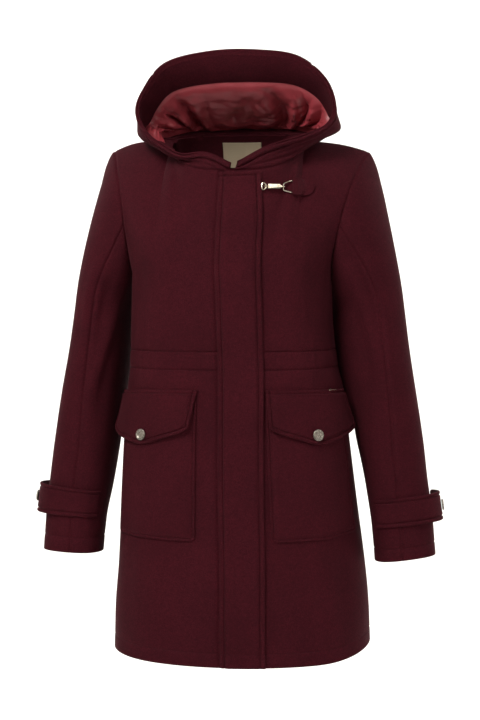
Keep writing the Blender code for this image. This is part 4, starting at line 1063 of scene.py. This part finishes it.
# from station to station, how many columns, and how its two ends are made
hoodParts = {
    "right": (hood["start"], hood["seamStation"], 96, "fold", "seam"),
    "centre": (hood["seamStation"], hood["end"] - hood["seamStation"], 60, "seam", "seam"),
    "left": (hood["end"] - hood["seamStation"], hood["end"] - hood["start"], 96, "seam", "fold"),
}
hoodPiece = {}
for word, (first, last, count, startStyle, endStyle) in hoodParts.items():
    neckAt = [(at - first) / (last - first) for at in (hood["neckPoint"], hood["end"] - hood["neckPoint"])]
    shares = insideShares(0.02, 0.98, count, [n for n in neckAt if 0 < n < 1])
    shape = wallOf(
        hood["thick"],
        hoodRows,
        (nearLines(startStyle), shares, nearLines(endStyle)),
        ({"edges": ("low",), "at": hood["rimStitch"], "depth": 1.6, "puff": 2.4},),
        {"low": "fold", "high": "seam", "start": startStyle, "end": endStyle},
    )
    hoodPiece[word] = layPiece("hood_shell_" + word, hoodPanelSurface(first, last), 1, shape)
sleevePanels = (*sleevePiece[-1].values(), *sleevePiece[1].values())
sewnPieces = (frontRight, frontLeft, back, fly, *sleevePanels, *hoodPiece.values())
mitreSeams(sewnPieces)
for made in sewnPieces:
    buildPiece(made, woolMelton)
for side, pair in sleevePiece.items():
    for made in pair.values():
        sew("sleeves", made, ("high", sleeves["cuffStitch"][side]))
for made in hoodPiece.values():
    sew("hood", made, ("low", hood["rimStitch"]))
print("shell sewn together")


def atFront(half):
    return 1 - ease((half - hood["facingFrontEnd"]) / hood["facingRun"])


def hoodWidths(station):  # how far down each station the facing reaches, as a share of the way
    shares = np.linspace(0, 1, 61)
    points = hoodPoint(station[:, None], shares[None, :])
    lengths = np.cumsum(np.linalg.norm(np.diff(points, axis=1), axis=2), axis=1)
    wide = np.array([np.interp(hood["facingWidth"], row, shares[1:]) for row in lengths])
    half = np.minimum(station, hood["end"] - station)
    aside = (half - hood["facingSideAt"]) / hood["facingRun"]
    wide = wide + hood["facingSide"] * np.exp(-(aside**2))
    return wide + (hood["facingFront"] - wide) * atFront(half)


facingStations = np.linspace(hood["start"], hood["end"] - hood["start"], 241)
facingEdge = hoodWidths(facingStations)


def insidePoint(station, w, depth):
    return hoodSurface(station, w) - hoodNormal(station, w) * depth[..., None]


def facingSurface(a, b):
    a, b = np.broadcast_arrays(a, b)
    station = hood["start"] + (hood["end"] - 2 * hood["start"]) * a
    w = np.interp(station, facingStations, facingEdge) * b
    half = np.minimum(station, hood["end"] - station)
    depth = hood["rimClear"] + (hood["inside"] - hood["rimClear"]) * ease(b / 0.3)
    return insidePoint(station, w, depth + hood["frontGap"] * atFront(half))


facingShape = wallOf(
    wool,
    (nearLines("fold", (hood["rimStitch"],)), insideShares(0.35, 0.93, 14), seamRound[:4]),
    (foldRound, insideShares(0.004, 0.996, 200), foldRound),
    ({"edges": ("low",), "at": hood["rimStitch"], "depth": 1.0, "puff": 0.7},),
)
facing = clothPiece("hood_inner_facing", facingSurface, 1, facingShape, woolMelton)

# The lining's folds, laid out as the hood's creases are (+ hangs further in)
liningFolds = (
    (((252, 56), (262, 100), (261, 140), (264, 187)), (5, 6), -17.0),
    (((240, 62), (252, 110), (254, 160)), (7, 8), 7.0),
    (((222, 76), (238, 108), (250, 140)), (4.5, 5), -12.0),
    (((206, 84), (222, 116), (240, 152)), (9, 9), 8.0),
    (((190, 98), (206, 120), (228, 146)), (4, 5), -8.0),
    (((166, 112), (192, 132), (226, 160)), (11, 9), 8.0),
    (((158, 140), (194, 160), (230, 178)), (4.5, 5), -8.0),
    (((270, 60), (269, 100), (272, 140)), (5, 6), 4.0),
    (((279, 53), (277, 99), (275, 150)), (2.2, 2.6), -2.6),
    (((296, 128), (301, 96), (318, 60)), (4, 5), -5.0),
    (((310, 62), (316, 92), (312, 136)), (4, 4), -4.5),
    (((286, 92), (292, 116), (300, 140)), (8, 9), 3.5),
    (((334, 56), (344, 96), (346, 140), (340, 180)), (6, 7), -18.0),
    (((352, 52), (360, 92), (358, 140)), (7, 7), 8.0),
    (((368, 58), (378, 92), (374, 140)), (4, 5), -12.0),
    (((386, 62), (393, 104), (386, 150)), (8, 8), 9.0),
    (((402, 72), (408, 112), (398, 160)), (4, 5), -10.0),
    (((420, 84), (424, 120), (412, 166)), (8, 8), 7.0),
    (((436, 96), (434, 130), (420, 174)), (4, 5), -8.0),
    (((452, 104), (446, 136), (432, 176)), (9, 8), 6.0),
    (((246, 168), (290, 156), (340, 166)), (5, 6), -6.0),
    (((258, 178), (300, 172), (336, 178)), (5, 5), 3.0),
)
liningHang = {
    "start": 3.4,
    "gap": 0.004,
    "puff": 14.0,
    "least": -1.0,
    "most": 30.0,
    "held": 0.03,
    "thick": 1.0,
}

# Small sharp folds of slack satin: spacing, turn, start and depth (+ has round backs and sharp troughs)
crumples = (
    (27.0, 0.35, 0.4, 2.7), (20.0, -0.55, 2.1, 2.0), (13.0, 1.2, 0.9, -1.1), (36.0, 1.42, 1.7, 2.2),
    (16.0, 0.1, 3.0, -1.3), (9.5, -0.9, 1.3, 0.7),
)


def crumple(s, t):
    total = np.zeros(np.broadcast(s, t).shape)
    for spacing, turn, start, depth in crumples:
        across = (s * math.cos(turn) + t * math.sin(turn)) / spacing * math.pi + start
        bend = 1.1 * np.sin((t * math.cos(turn) - s * math.sin(turn)) / (spacing * 0.9) + start * 2)
        total += depth * (np.abs(np.sin(across + bend)) ** 0.8 - 0.6)
    calm = 0.55 * np.exp(-(((s - 292) / 34) ** 2))  # the middle hangs calmer
    return total * (1 - calm)


def liningSurface(a, b):
    a, b = np.broadcast_arrays(a, b)
    station = liningHang["start"] + (hood["end"] - 2 * liningHang["start"]) * a
    start = np.interp(station, facingStations, facingEdge) + liningHang["gap"]
    w = start + (hood["liningEnd"] - start) * b
    held = liningHang["held"]  # near its two ends it is sewn flat, and it fills out between its long edges
    free = np.sin(np.pi * np.clip(b, 0, 1)) ** 0.5 * ease(a / held) * ease((1 - a) / held)
    s, t = station * hoodScale[0], w * hoodScale[1]
    hang = liningHang["puff"] + creaseDepth(liningFolds, s, t) + crumple(s, t)
    hang = np.clip(hang, liningHang["least"], liningHang["most"])
    return insidePoint(station, w, hood["inside"] + hang * free)


liningShape = wallOf(
    liningHang["thick"],
    (foldRound, insideShares(0.03, 0.97, 80), foldRound),
    (foldRound, insideShares(0.01, 0.99, 260), foldRound),
)
lining = clothPiece("hood_satin_lining", liningSurface, 1, liningShape, liningSatin)


def bandSurface(a, b):
    a, b = np.broadcast_arrays(a, b)
    station = hood["neckPoint"] + (hood["end"] - 2 * hood["neckPoint"]) * a
    low, high = hood["bandW"]
    return insidePoint(station, low + (high - low) * b, np.full(a.shape, hood["rimClear"]))


bandShape = wallOf(
    hood["bandThick"],
    (foldRound, insideShares(0.2, 0.8, 8), foldRound),
    (foldRound, insideShares(0.01, 0.99, 90), foldRound),
)
band = clothPiece("back_neck_band", bandSurface, 1, bandShape, woolMelton)

label = {"x": (-38.0, 27.0), "z": (-35.0, 6.0), "gap": 0.4, "thick": 1.0}


def labelSurface(a, b):
    a, b = np.broadcast_arrays(a, b)
    x = label["x"][0] + (label["x"][1] - label["x"][0]) * a
    z = label["z"][0] + (label["z"][1] - label["z"][0]) * b
    u, v = placeOnYoke(x, z, 1)
    return layOnBody(u, v, 1, np.full(a.shape, -(wool + label["gap"])))


labelShape = wallOf(
    label["thick"],
    (foldRound[:4], insideShares(0.06, 0.94, 14), foldRound[:4]),
    (foldRound[:4], insideShares(0.06, 0.94, 20), foldRound[:4]),
)
neckLabel = clothPiece("neck_label_cloth", labelSurface, -1, labelShape, labelCloth)
print("hood inside made")


pocket = {
    "inner": {-1: 0.165, 1: 0.177},
    "outer": 0.785,
    "middle": 0.475,
    "topZ": -413.0,
    "bottomZ": -631.0,
    "width": 165.0,
    "height": 218.0,
    "corner": 9.0,
    "puff": 3.0,
    "gap": 0.4,
    "edgeStitch": 4.5,
    "thick": 2.2,
}


def pocketSurface(side):
    low, high = (float(heightToV(pocket["middle"], z)) for z in (pocket["bottomZ"], pocket["topZ"]))

    def surface(a, b):
        a, b = np.broadcast_arrays(a, b)
        x, y = a * pocket["width"], b * pocket["height"]
        x, y = roundedCorner(x, y, pocket["corner"])
        other, y = roundedCorner(pocket["width"] - x, y, pocket["corner"])
        x = pocket["width"] - other
        a, b = x / pocket["width"], y / pocket["height"]
        u = side * (pocket["inner"][side] + (pocket["outer"] - pocket["inner"][side]) * a)
        puff = pocket["puff"] * np.sin(np.pi * np.clip(b, 0, 1)) * np.sin(np.pi * np.clip(a, 0, 1))
        return layOnBody(u, low + (high - low) * b, -1, pocket["gap"] + puff + pocket["thick"])

    return surface


pocketEdge = nearLines("fold", (pocket["edgeStitch"],))
pocketShape = wallOf(
    pocket["thick"],
    (pocketEdge, insideShares(0.06, 0.97, 56), foldRound),
    (pocketEdge, insideShares(0.08, 0.92, 34), pocketEdge),
    ({"edges": ("low", "start", "end"), "at": pocket["edgeStitch"], "depth": 0.9, "puff": 0.5},),
)
pocketPiece = {}
for side, word in sides:
    made = clothPiece("patch_pocket_" + word, pocketSurface(side), side, pocketShape, woolMelton)
    stitch = pocket["edgeStitch"]
    sew("trim", made, ("low", stitch, stitch, stitch), ("start", stitch, stitch, 2),
        ("end", stitch, stitch, 2))
    pocketPiece[side] = made

flap = {
    "topInner": {-1: 0.160, 1: 0.177},
    "topOuter": 0.850,
    "lowInner": {-1: 0.197, 1: 0.190},
    "lowOuter": 0.925,
    "topZ": -399.5,
    "stepZ": -410.5,
    "topGap": 0.8,
    "lowGap": 4.0,
    "slope": 2.8,
    "stepShare": 5,  # the step over the pocket's edge takes up one part in five
    "lift": {-1: 7.0, 1: 4.5},
    "innerLift": 2.0,
    "pointRound": (2.2, 0.03),
    "cornerRound": (5.0, 0.035),
    "edge": ((0.190, -463), (0.480, -487), (0.925, -463)),
    "edgeStitch": 6.5,
    "topStitch": 6.0,
    "thick": 3.0,
    "button": {-1: (0.485, -468.0), 1: (0.470, -468.0)},
    "bar": (0.655, -402.5),
}


def flapSurface(side):
    edgeU, edgeZ = zip(*flap["edge"])

    def surface(a, b):  # a runs from the inner end to the outer one, b from the top edge down
        a, b = np.broadcast_arrays(a, b)
        t = b * flap["stepShare"]
        inner = flap["topInner"][side] + (flap["lowInner"][side] - flap["topInner"][side]) * b
        outer = flap["topOuter"] + (flap["lowOuter"] - flap["topOuter"]) * b
        u = inner + (outer - inner) * a
        low = np.maximum(t - 1, 0) / (flap["stepShare"] - 1)
        edge = np.interp(u, edgeU, edgeZ)
        # the point and the low corners are a little rounded
        deep, wide = flap["pointRound"]
        edge = edge + deep * np.exp(-(((u - edgeU[1]) / wide) ** 2))
        deep, wide = flap["cornerRound"]
        edge = edge + deep * (np.exp(-((a / wide) ** 2)) + np.exp(-(((1 - a) / wide) ** 2)))
        z = flap["topZ"] + (flap["stepZ"] - flap["topZ"]) * np.minimum(t, 1) + (edge - flap["stepZ"]) * low
        rise = flap["topGap"] + (flap["lowGap"] - flap["topGap"]) * ease(np.minimum(t, 1))
        lift = flap["lift"][side] * np.maximum(a - 0.45, 0) ** 2 / 0.3  # the outer corner stands away
        lift = lift + flap["innerLift"] * np.maximum(0.3 - a, 0) ** 2 / 0.09
        gap = rise + low * flap["slope"] + low**1.5 * lift
        return layOnBody(side * u, heightToV(u, z), -1, gap + flap["thick"])

    return surface


flapEdge = nearLines("fold", (flap["edgeStitch"],))
flapShape = wallOf(
    flap["thick"],
    (nearLines("fold", (flap["topStitch"],)), insideShares(0.16, 0.84, 12), flapEdge),
    (flapEdge, insideShares(0.08, 0.92, 45), flapEdge),
    (
        {"edges": ("start", "end", "high"), "at": flap["edgeStitch"], "depth": 1.3, "puff": 1.1},
        {"edges": ("low",), "at": flap["topStitch"], "depth": 1.1, "puff": 0.4},
    ),
)
flapPiece = {}
for side, word in sides:
    made = clothPiece("pocket_flap_" + word, flapSurface(side), -side, flapShape, woolMelton)
    stitch, top = flap["edgeStitch"], flap["topStitch"]
    sew("trim", made, ("high", stitch, stitch, stitch), ("start", stitch, top, stitch),
        ("end", stitch, top, stitch), ("low", top, 1, 1))
    flapPiece[side] = made
print("pockets and flaps made")


tab = {
    "z": {-1: -583.0, 1: -593.0},
    "height": 44.0,
    "turns": (1 / 14, 8 / 14),
    "stand": 13.0,
    "gap": 0.7,
    "buttonAt": 0.771,
    "edgeStitch": 6.0,
    "corner": 6.0,
    "length": 175.0,
    "thick": 2.6,
}


def tabSurface(side):
    rows = sleeves[side]
    tallest, lowest = rows[0][0], rows[-1][0]
    heights = [tab["z"][side] + way * tab["height"] / 2 for way in (1, -1)]
    high, low = (1 + (z - tallest) / (lowest - tallest) for z in heights)

    def surface(a, b):  # b runs from the upper edge down, a from the underarm end to the free one
        a, b = np.broadcast_arrays(a, b)
        x, y = a * tab["length"], b * tab["height"]
        fromEnd, y = roundedCorner(tab["length"] - x, y, tab["corner"])
        fromEnd, fromLow = roundedCorner(fromEnd, tab["height"] - y, tab["corner"])
        a, b = 1 - fromEnd / tab["length"], 1 - fromLow / tab["height"]
        k = tab["turns"][0] + (tab["turns"][1] - tab["turns"][0]) * a
        v = high + (low - high) * b
        stand = tab["gap"] + tab["stand"] * ease((7 * a - 2) / 3.8)
        out = outwards(lambda c, d: sleeveSurface(c, d, side), k, v, -side, 3e-3)
        return sleeveSurface(k, v, side) + out * (stand + tab["thick"])[..., None]

    return surface


tabEdge = nearLines("fold", (tab["edgeStitch"],))
tabShape = wallOf(
    tab["thick"],
    (tabEdge, insideShares(0.22, 0.78, 9), tabEdge),
    (foldRound, insideShares(0.02, 0.93, 60), tabEdge),
    ({"edges": ("low", "high", "end"), "at": tab["edgeStitch"], "depth": 1.1, "puff": 0.8},),
)
tabPiece = {}
for side, word in sides:
    made = clothPiece("sleeve_tab_" + word, tabSurface(side), -side, tabShape, woolMelton)
    stitch = tab["edgeStitch"]
    sew("sleeves", made, ("low", stitch, 0, stitch), ("high", stitch, 0, stitch),
        ("end", stitch, stitch, stitch))
    tabPiece[side] = made
print("cuff tabs made")


button = {
    # radius and height from the middle of the face to the middle of the back
    "profile": (
        (0.0, 1.75), (2.6, 1.7), (4.4, 1.75), (5.4, 2.05), (6.0, 2.5), (6.6, 2.95), (7.4, 3.25),
        (8.2, 3.15), (8.8, 2.7), (9.0, 2.1), (8.95, 1.2), (8.5, 0.5), (7.8, 0.05), (0.0, 0.0),
    ),
    "segments": 48,
    "gap": 0.7,
}


def turned(profile, segments):
    points, faces, rings = [], [], []
    for radius, height in profile:
        if radius == 0:
            points.append((0.0, 0.0, height))
            rings.append([len(points) - 1] * segments)
            continue
        ring = []
        for i in range(segments):
            angle = 2 * math.pi * i / segments
            points.append((radius * math.cos(angle), radius * math.sin(angle), height))
            ring.append(len(points) - 1)
        rings.append(ring)
    for upper, lower in zip(rings, rings[1:]):
        for i in range(segments):
            n = (i + 1) % segments
            corners = [upper[i], upper[n], lower[n], lower[i]]
            faces.append([c for at, c in enumerate(corners) if c != corners[at - 1]])
    return points, faces


def standOn(points, place, normal, gap):  # turns a piece so that its Z lies along the normal
    out = Vector(normal).normalized()
    across = Vector((0, 0, 1)).cross(out).normalized()
    up = out.cross(across)
    turn = Matrix((across, up, out)).transposed()
    base = Vector(place) + out * gap
    return [tuple(turn @ Vector(point) + base) for point in points]


def addButton(name, place, normal):
    points, faces = turned(button["profile"], button["segments"])
    return meshOf(name, standOn(points, place, normal, button["gap"]), faces, antiqueNickel, sharp=60)


def nearestOn(made, wanted):  # the place on a piece's face that a point stands over
    apart = made["points"] - wanted
    off = apart - made["normals"] * np.sum(apart * made["normals"], axis=-1, keepdims=True)
    at = np.unravel_index(np.argmin(np.linalg.norm(off, axis=-1)), off.shape[:2])
    return made["points"][at], made["normals"][at]


buttonPiece = {}
for side, word in sides:
    u, z = flap["button"][side]
    place, normal = nearestOn(flapPiece[side], sectionPoint(np.array(side * u), np.array(z), -1))
    buttonPiece["flap", side] = addButton("flap_nickel_button_" + word, place, normal)
    made = tabPiece[side]
    column = int(np.argmin(np.abs(made["a"][len(made["a"]) // 2] - tab["buttonAt"])))
    row = int(np.argmin(np.abs(made["b"][:, column] - 0.5)))
    buttonPiece["cuff", side] = addButton("cuff_nickel_button_" + word, made["points"][row, column],
                                          made["normals"][row, column])
print("buttons made")

plate = {"length": 20.0, "width": 3.2, "thick": 1.1, "bevel": 0.35, "corner": 6, "gap": 0.3}


def addPlate(name, place, normal):  # a small flat bar with round ends and an eased edge
    ring = []
    radius = plate["width"] / 2
    half = plate["length"] / 2 - radius
    for side in (1, -1):
        for i in range(plate["corner"] + 1):
            angle = math.pi * (i / plate["corner"] - 0.5)
            ring.append((side * (half + radius * math.cos(angle)), side * radius * math.sin(angle)))
    layers = ((0.0, 0.0), (0.0, plate["thick"] - plate["bevel"]), (plate["bevel"], plate["thick"]))
    points = []
    for inset, height in layers:
        points += [(x - math.copysign(inset, x), y * (1 - inset / radius), height) for x, y in ring]
    count = len(ring)
    faces = [tuple(range(count))[::-1], tuple(range(2 * count, 3 * count))]
    for layer in range(2):
        for i in range(count):
            n = (i + 1) % count
            low, high = layer * count, (layer + 1) * count
            faces.append((low + i, low + n, high + n, high + i))
    return meshOf(name, standOn(points, place, normal, plate["gap"]), faces, paleGold, sharp=30)


u, z = flap["bar"]
flapBar = addPlate("flap_gold_bar", *nearestOn(flapPiece[1], sectionPoint(np.array(u), np.array(z), -1)))


stitching = {"pitch": 3.6, "length": 2.7, "width": 0.62, "height": 0.42}


def makeStitchTree(material):
    # a row of short stitches along each path, turned to the path and the cloth
    tree = bpy.data.node_groups.new("Stitch rows", "GeometryNodeTree")
    tree.interface.new_socket("Geometry", in_out="INPUT", socket_type="NodeSocketGeometry")
    inputs = {}
    for title in ("Pitch", "Length", "Width", "Height"):
        socket = tree.interface.new_socket(title, in_out="INPUT", socket_type="NodeSocketFloat")
        inputs[title] = socket.identifier
    tree.interface.new_socket("Geometry", in_out="OUTPUT", socket_type="NodeSocketGeometry")
    given = addNode(tree, "NodeGroupInput").outputs
    path = addNode(tree, "GeometryNodeMeshToCurve", links={"Mesh": given["Geometry"]})
    spaced = addNode(tree, "GeometryNodeResampleCurve", {"mode": "LENGTH"},
                     links={"Curve": path.outputs["Curve"], "Length": given["Pitch"]})
    tangent = addNode(tree, "GeometryNodeInputTangent")
    out = addNode(tree, "GeometryNodeInputNamedAttribute", {"data_type": "FLOAT_VECTOR"}, {"Name": "out"})
    alongPath = addNode(tree, "FunctionNodeAlignRotationToVector", {"axis": "X"},
                        links={"Vector": tangent.outputs["Tangent"]})
    turn = {"Rotation": alongPath.outputs["Rotation"], "Vector": out.outputs["Attribute"]}
    facingOut = addNode(tree, "FunctionNodeAlignRotationToVector", {"axis": "Z", "pivot_axis": "X"},
                        links=turn)
    stitch = addNode(tree, "GeometryNodeMeshUVSphere", values={"Segments": 6, "Rings": 4, "Radius": 0.5})
    size = addNode(tree, "ShaderNodeCombineXYZ",
                   links={"X": given["Length"], "Y": given["Width"], "Z": given["Height"]})
    placed = addNode(tree, "GeometryNodeInstanceOnPoints",
                     links={"Points": spaced.outputs["Curve"], "Instance": stitch.outputs["Mesh"],
                            "Rotation": facingOut.outputs["Rotation"], "Scale": size.outputs["Vector"]})
    real = addNode(tree, "GeometryNodeRealizeInstances", links={"Geometry": placed.outputs["Instances"]})
    smooth = addNode(tree, "GeometryNodeSetShadeSmooth", links={"Geometry": real.outputs["Geometry"]})
    finished = addNode(tree, "GeometryNodeSetMaterial", values={"Material": material},
                       links={"Geometry": smooth.outputs["Geometry"]})
    addNode(tree, "NodeGroupOutput", links={"Geometry": finished.outputs["Geometry"]})
    return tree, inputs


stitchTree, stitchInputs = makeStitchTree(threadMaterial)


def sewRows(name, rows):
    points, normals, edges = [], [], []
    for line, out in rows:
        start = len(points)
        points += (line * millimetre).tolist()
        normals += out.tolist()
        edges += [(start + i, start + i + 1) for i in range(len(line) - 1)]
    mesh = bpy.data.meshes.new(name + "_path")
    mesh.from_pydata(points, edges, [])
    out = mesh.attributes.new("out", "FLOAT_VECTOR", "POINT")
    out.data.foreach_set("vector", np.array(normals, np.float32).ravel())
    helper = linked(name + "_path", mesh)
    sew = helper.modifiers.new("Stitches", "NODES")
    sew.node_group = stitchTree
    for title, key in (("Pitch", "pitch"), ("Length", "length"), ("Width", "width"), ("Height", "height")):
        sew[stitchInputs[title]] = stitching[key] * millimetre
    bpy.context.view_layer.update()
    graph = bpy.context.evaluated_depsgraph_get()
    made = bpy.data.meshes.new_from_object(helper.evaluated_get(graph))
    made.name = name
    helper.modifiers.remove(sew)
    bpy.data.objects.remove(helper, do_unlink=True)
    return linked(name, made)


for made, first, last in ((frontRight, 2, 0), (frontLeft, 60, 0), (back, 0, 0)):
    sew("body", made, ("low", hem["stitchAt"], first, last))
seamStitch, edgeStitch = flyFront["seamStitch"], flyFront["edgeStitch"]
sew("body", fly, ("low", hem["stitchAt"], 0, 1), ("start", seamStitch, 1, 1),
    ("end", edgeStitch, 1, edgeStitch), ("high", edgeStitch, seamStitch, edgeStitch))
for made in (frontRight, frontLeft, back):
    middle = made["b"].shape[1] // 2
    for row in waist["rows"]:
        at = int(np.argmin(np.abs(made["b"][:, middle] - row / 2)))
        stitchRows["body"].append((made["points"][at, 3:-3], made["normals"][at, 3:-3]))
sewn = {word: sewRows("stitches_" + word, rows) for word, rows in stitchRows.items()}
print("stitches sewn")


for word, made in (("right", frontRight), ("left", frontLeft)):
    dress(made["object"], "wool_melton", "front_" + word)
dress(back["object"], "wool_melton", "back")
dress(fly["object"], "wool_melton", "fly_front")
for side, word in sides:
    for part, made in sleevePiece[side].items():
        dress(made["object"], "wool_melton", f"{part}_sleeve_{word}")
    dress(pocketPiece[side]["object"], "wool_melton", "pocket_" + word)
    dress(flapPiece[side]["object"], "wool_melton", "flap_" + word)
    dress(tabPiece[side]["object"], "wool_melton", "cuff_tab_" + word)
    dress(buttonPiece["flap", side], "button_nickel", "flap_button_" + word)
    dress(buttonPiece["cuff", side], "button_nickel", "cuff_button_" + word)
for word, made in hoodPiece.items():
    dress(made["object"], "wool_melton", "hood_" + word)
dress(facing["object"], "wool_melton", "hood_facing")
dress(lining["object"], "lining_satin", "hood_lining")
dress(band["object"], "wool_melton", "neck_band")
dress(neckLabel["object"], "label_weave", "neck_label")
for thing in sewn.values():
    dress(thing, "wool_melton")
dress(flapBar, "clasp_gold", "flap_bar")
for node in ("clasp_ring", "clasp_hook", "clasp_loop"):
    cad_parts[node].material_slots[0].material = paleGold
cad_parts["clasp_tab"].material_slots[0].material = woolMelton

print("pieces ride on the frame")


studio = {
    "floorZ": -1.45,
    "floorRadius": 3.4,
    "curveRadius": 1.4,
    "wallTop": 3.2,
    "curveSteps": 12,
    "segments": 96,
    "cameraAzimuth": 6.0,
    "cameraDistance": 2.70,
    "cameraZ": -0.290,
    "tilt": 1.4,
    "frameHeight": 1.1664,  # of the picture at the coat, in metres
    "pale": "#f4f2f0",
}


def makeStage():
    # a round pale floor that curves up into a wall all round, so that every view has the same backdrop
    floorZ, radius, reach = studio["floorZ"], studio["curveRadius"], studio["floorRadius"]
    profile = [(reach + radius, studio["wallTop"])]
    for i in range(studio["curveSteps"], -1, -1):
        angle = math.pi / 2 * i / studio["curveSteps"]
        profile.append((reach + radius * math.sin(angle), floorZ + radius - radius * math.cos(angle)))
    points, faces = turned((*profile, (0, floorZ)), studio["segments"])
    mesh = bpy.data.meshes.new("studio_floor")
    mesh.from_pydata(points, [], faces)
    mesh.shade_smooth()
    paper, _, shader = newMaterial("Pale studio paper")
    setInputs(shader, {"Base Color": (*toLinear(studio["pale"]), 1), "Roughness": 0.95})
    mesh.materials.append(paper)
    floor = linked("studio_floor", mesh)


def addSoftbox(name, place, target, size, power, colour):
    light = bpy.data.lights.new(name, "AREA")
    light.shape = "RECTANGLE"
    light.size, light.size_y = size
    light.energy = power
    light.color = toLinear(colour)
    lamp = linked(name, light)
    lamp.location = place
    lamp.rotation_euler = (Vector(target) - Vector(place)).to_track_quat("-Z", "Y").to_euler()


def makeCamera():
    azimuth = math.radians(studio["cameraAzimuth"])
    distance = studio["cameraDistance"]
    camera = bpy.data.cameras.new("camera")
    camera.sensor_fit = "VERTICAL"
    camera.sensor_height = 24.0
    camera.lens = 24.0 * distance / studio["frameHeight"]
    view = linked("camera", camera)
    view.location = (distance * math.sin(azimuth), -distance * math.cos(azimuth), studio["cameraZ"])
    view.rotation_euler = (math.radians(90 - studio["tilt"]), 0, azimuth)
    camera.clip_start, camera.clip_end = 0.1, 30
    bpy.context.scene.camera = view


makeStage()
addSoftbox("key_softbox", (-0.8, -1.7, 1.25), (0, 0, -0.3), (0.9, 0.9), 38, "#fffaf5")
addSoftbox("fill_softbox", (1.9, -2.2, 0.7), (0, 0, -0.4), (1.0, 1.4), 6, "#fffdfb")
for side, word in sides:
    place, target = (side * 2.2, 1.4, 1.7), (side * 0.5, 4.6, -0.6)
    addSoftbox("backdrop_softbox_" + word, place, target, (1.5, 1.5), 105, "#fffdfb")
world = bpy.data.worlds.new("soft room")
world.use_nodes = True
setInputs(world.node_tree.nodes["Background"], {"Color": (*toLinear("#fbfaf9"), 1), "Strength": 0.2})
bpy.context.scene.world = world
bpy.context.scene.view_settings.view_transform = "Standard"
makeCamera()
print("studio made")
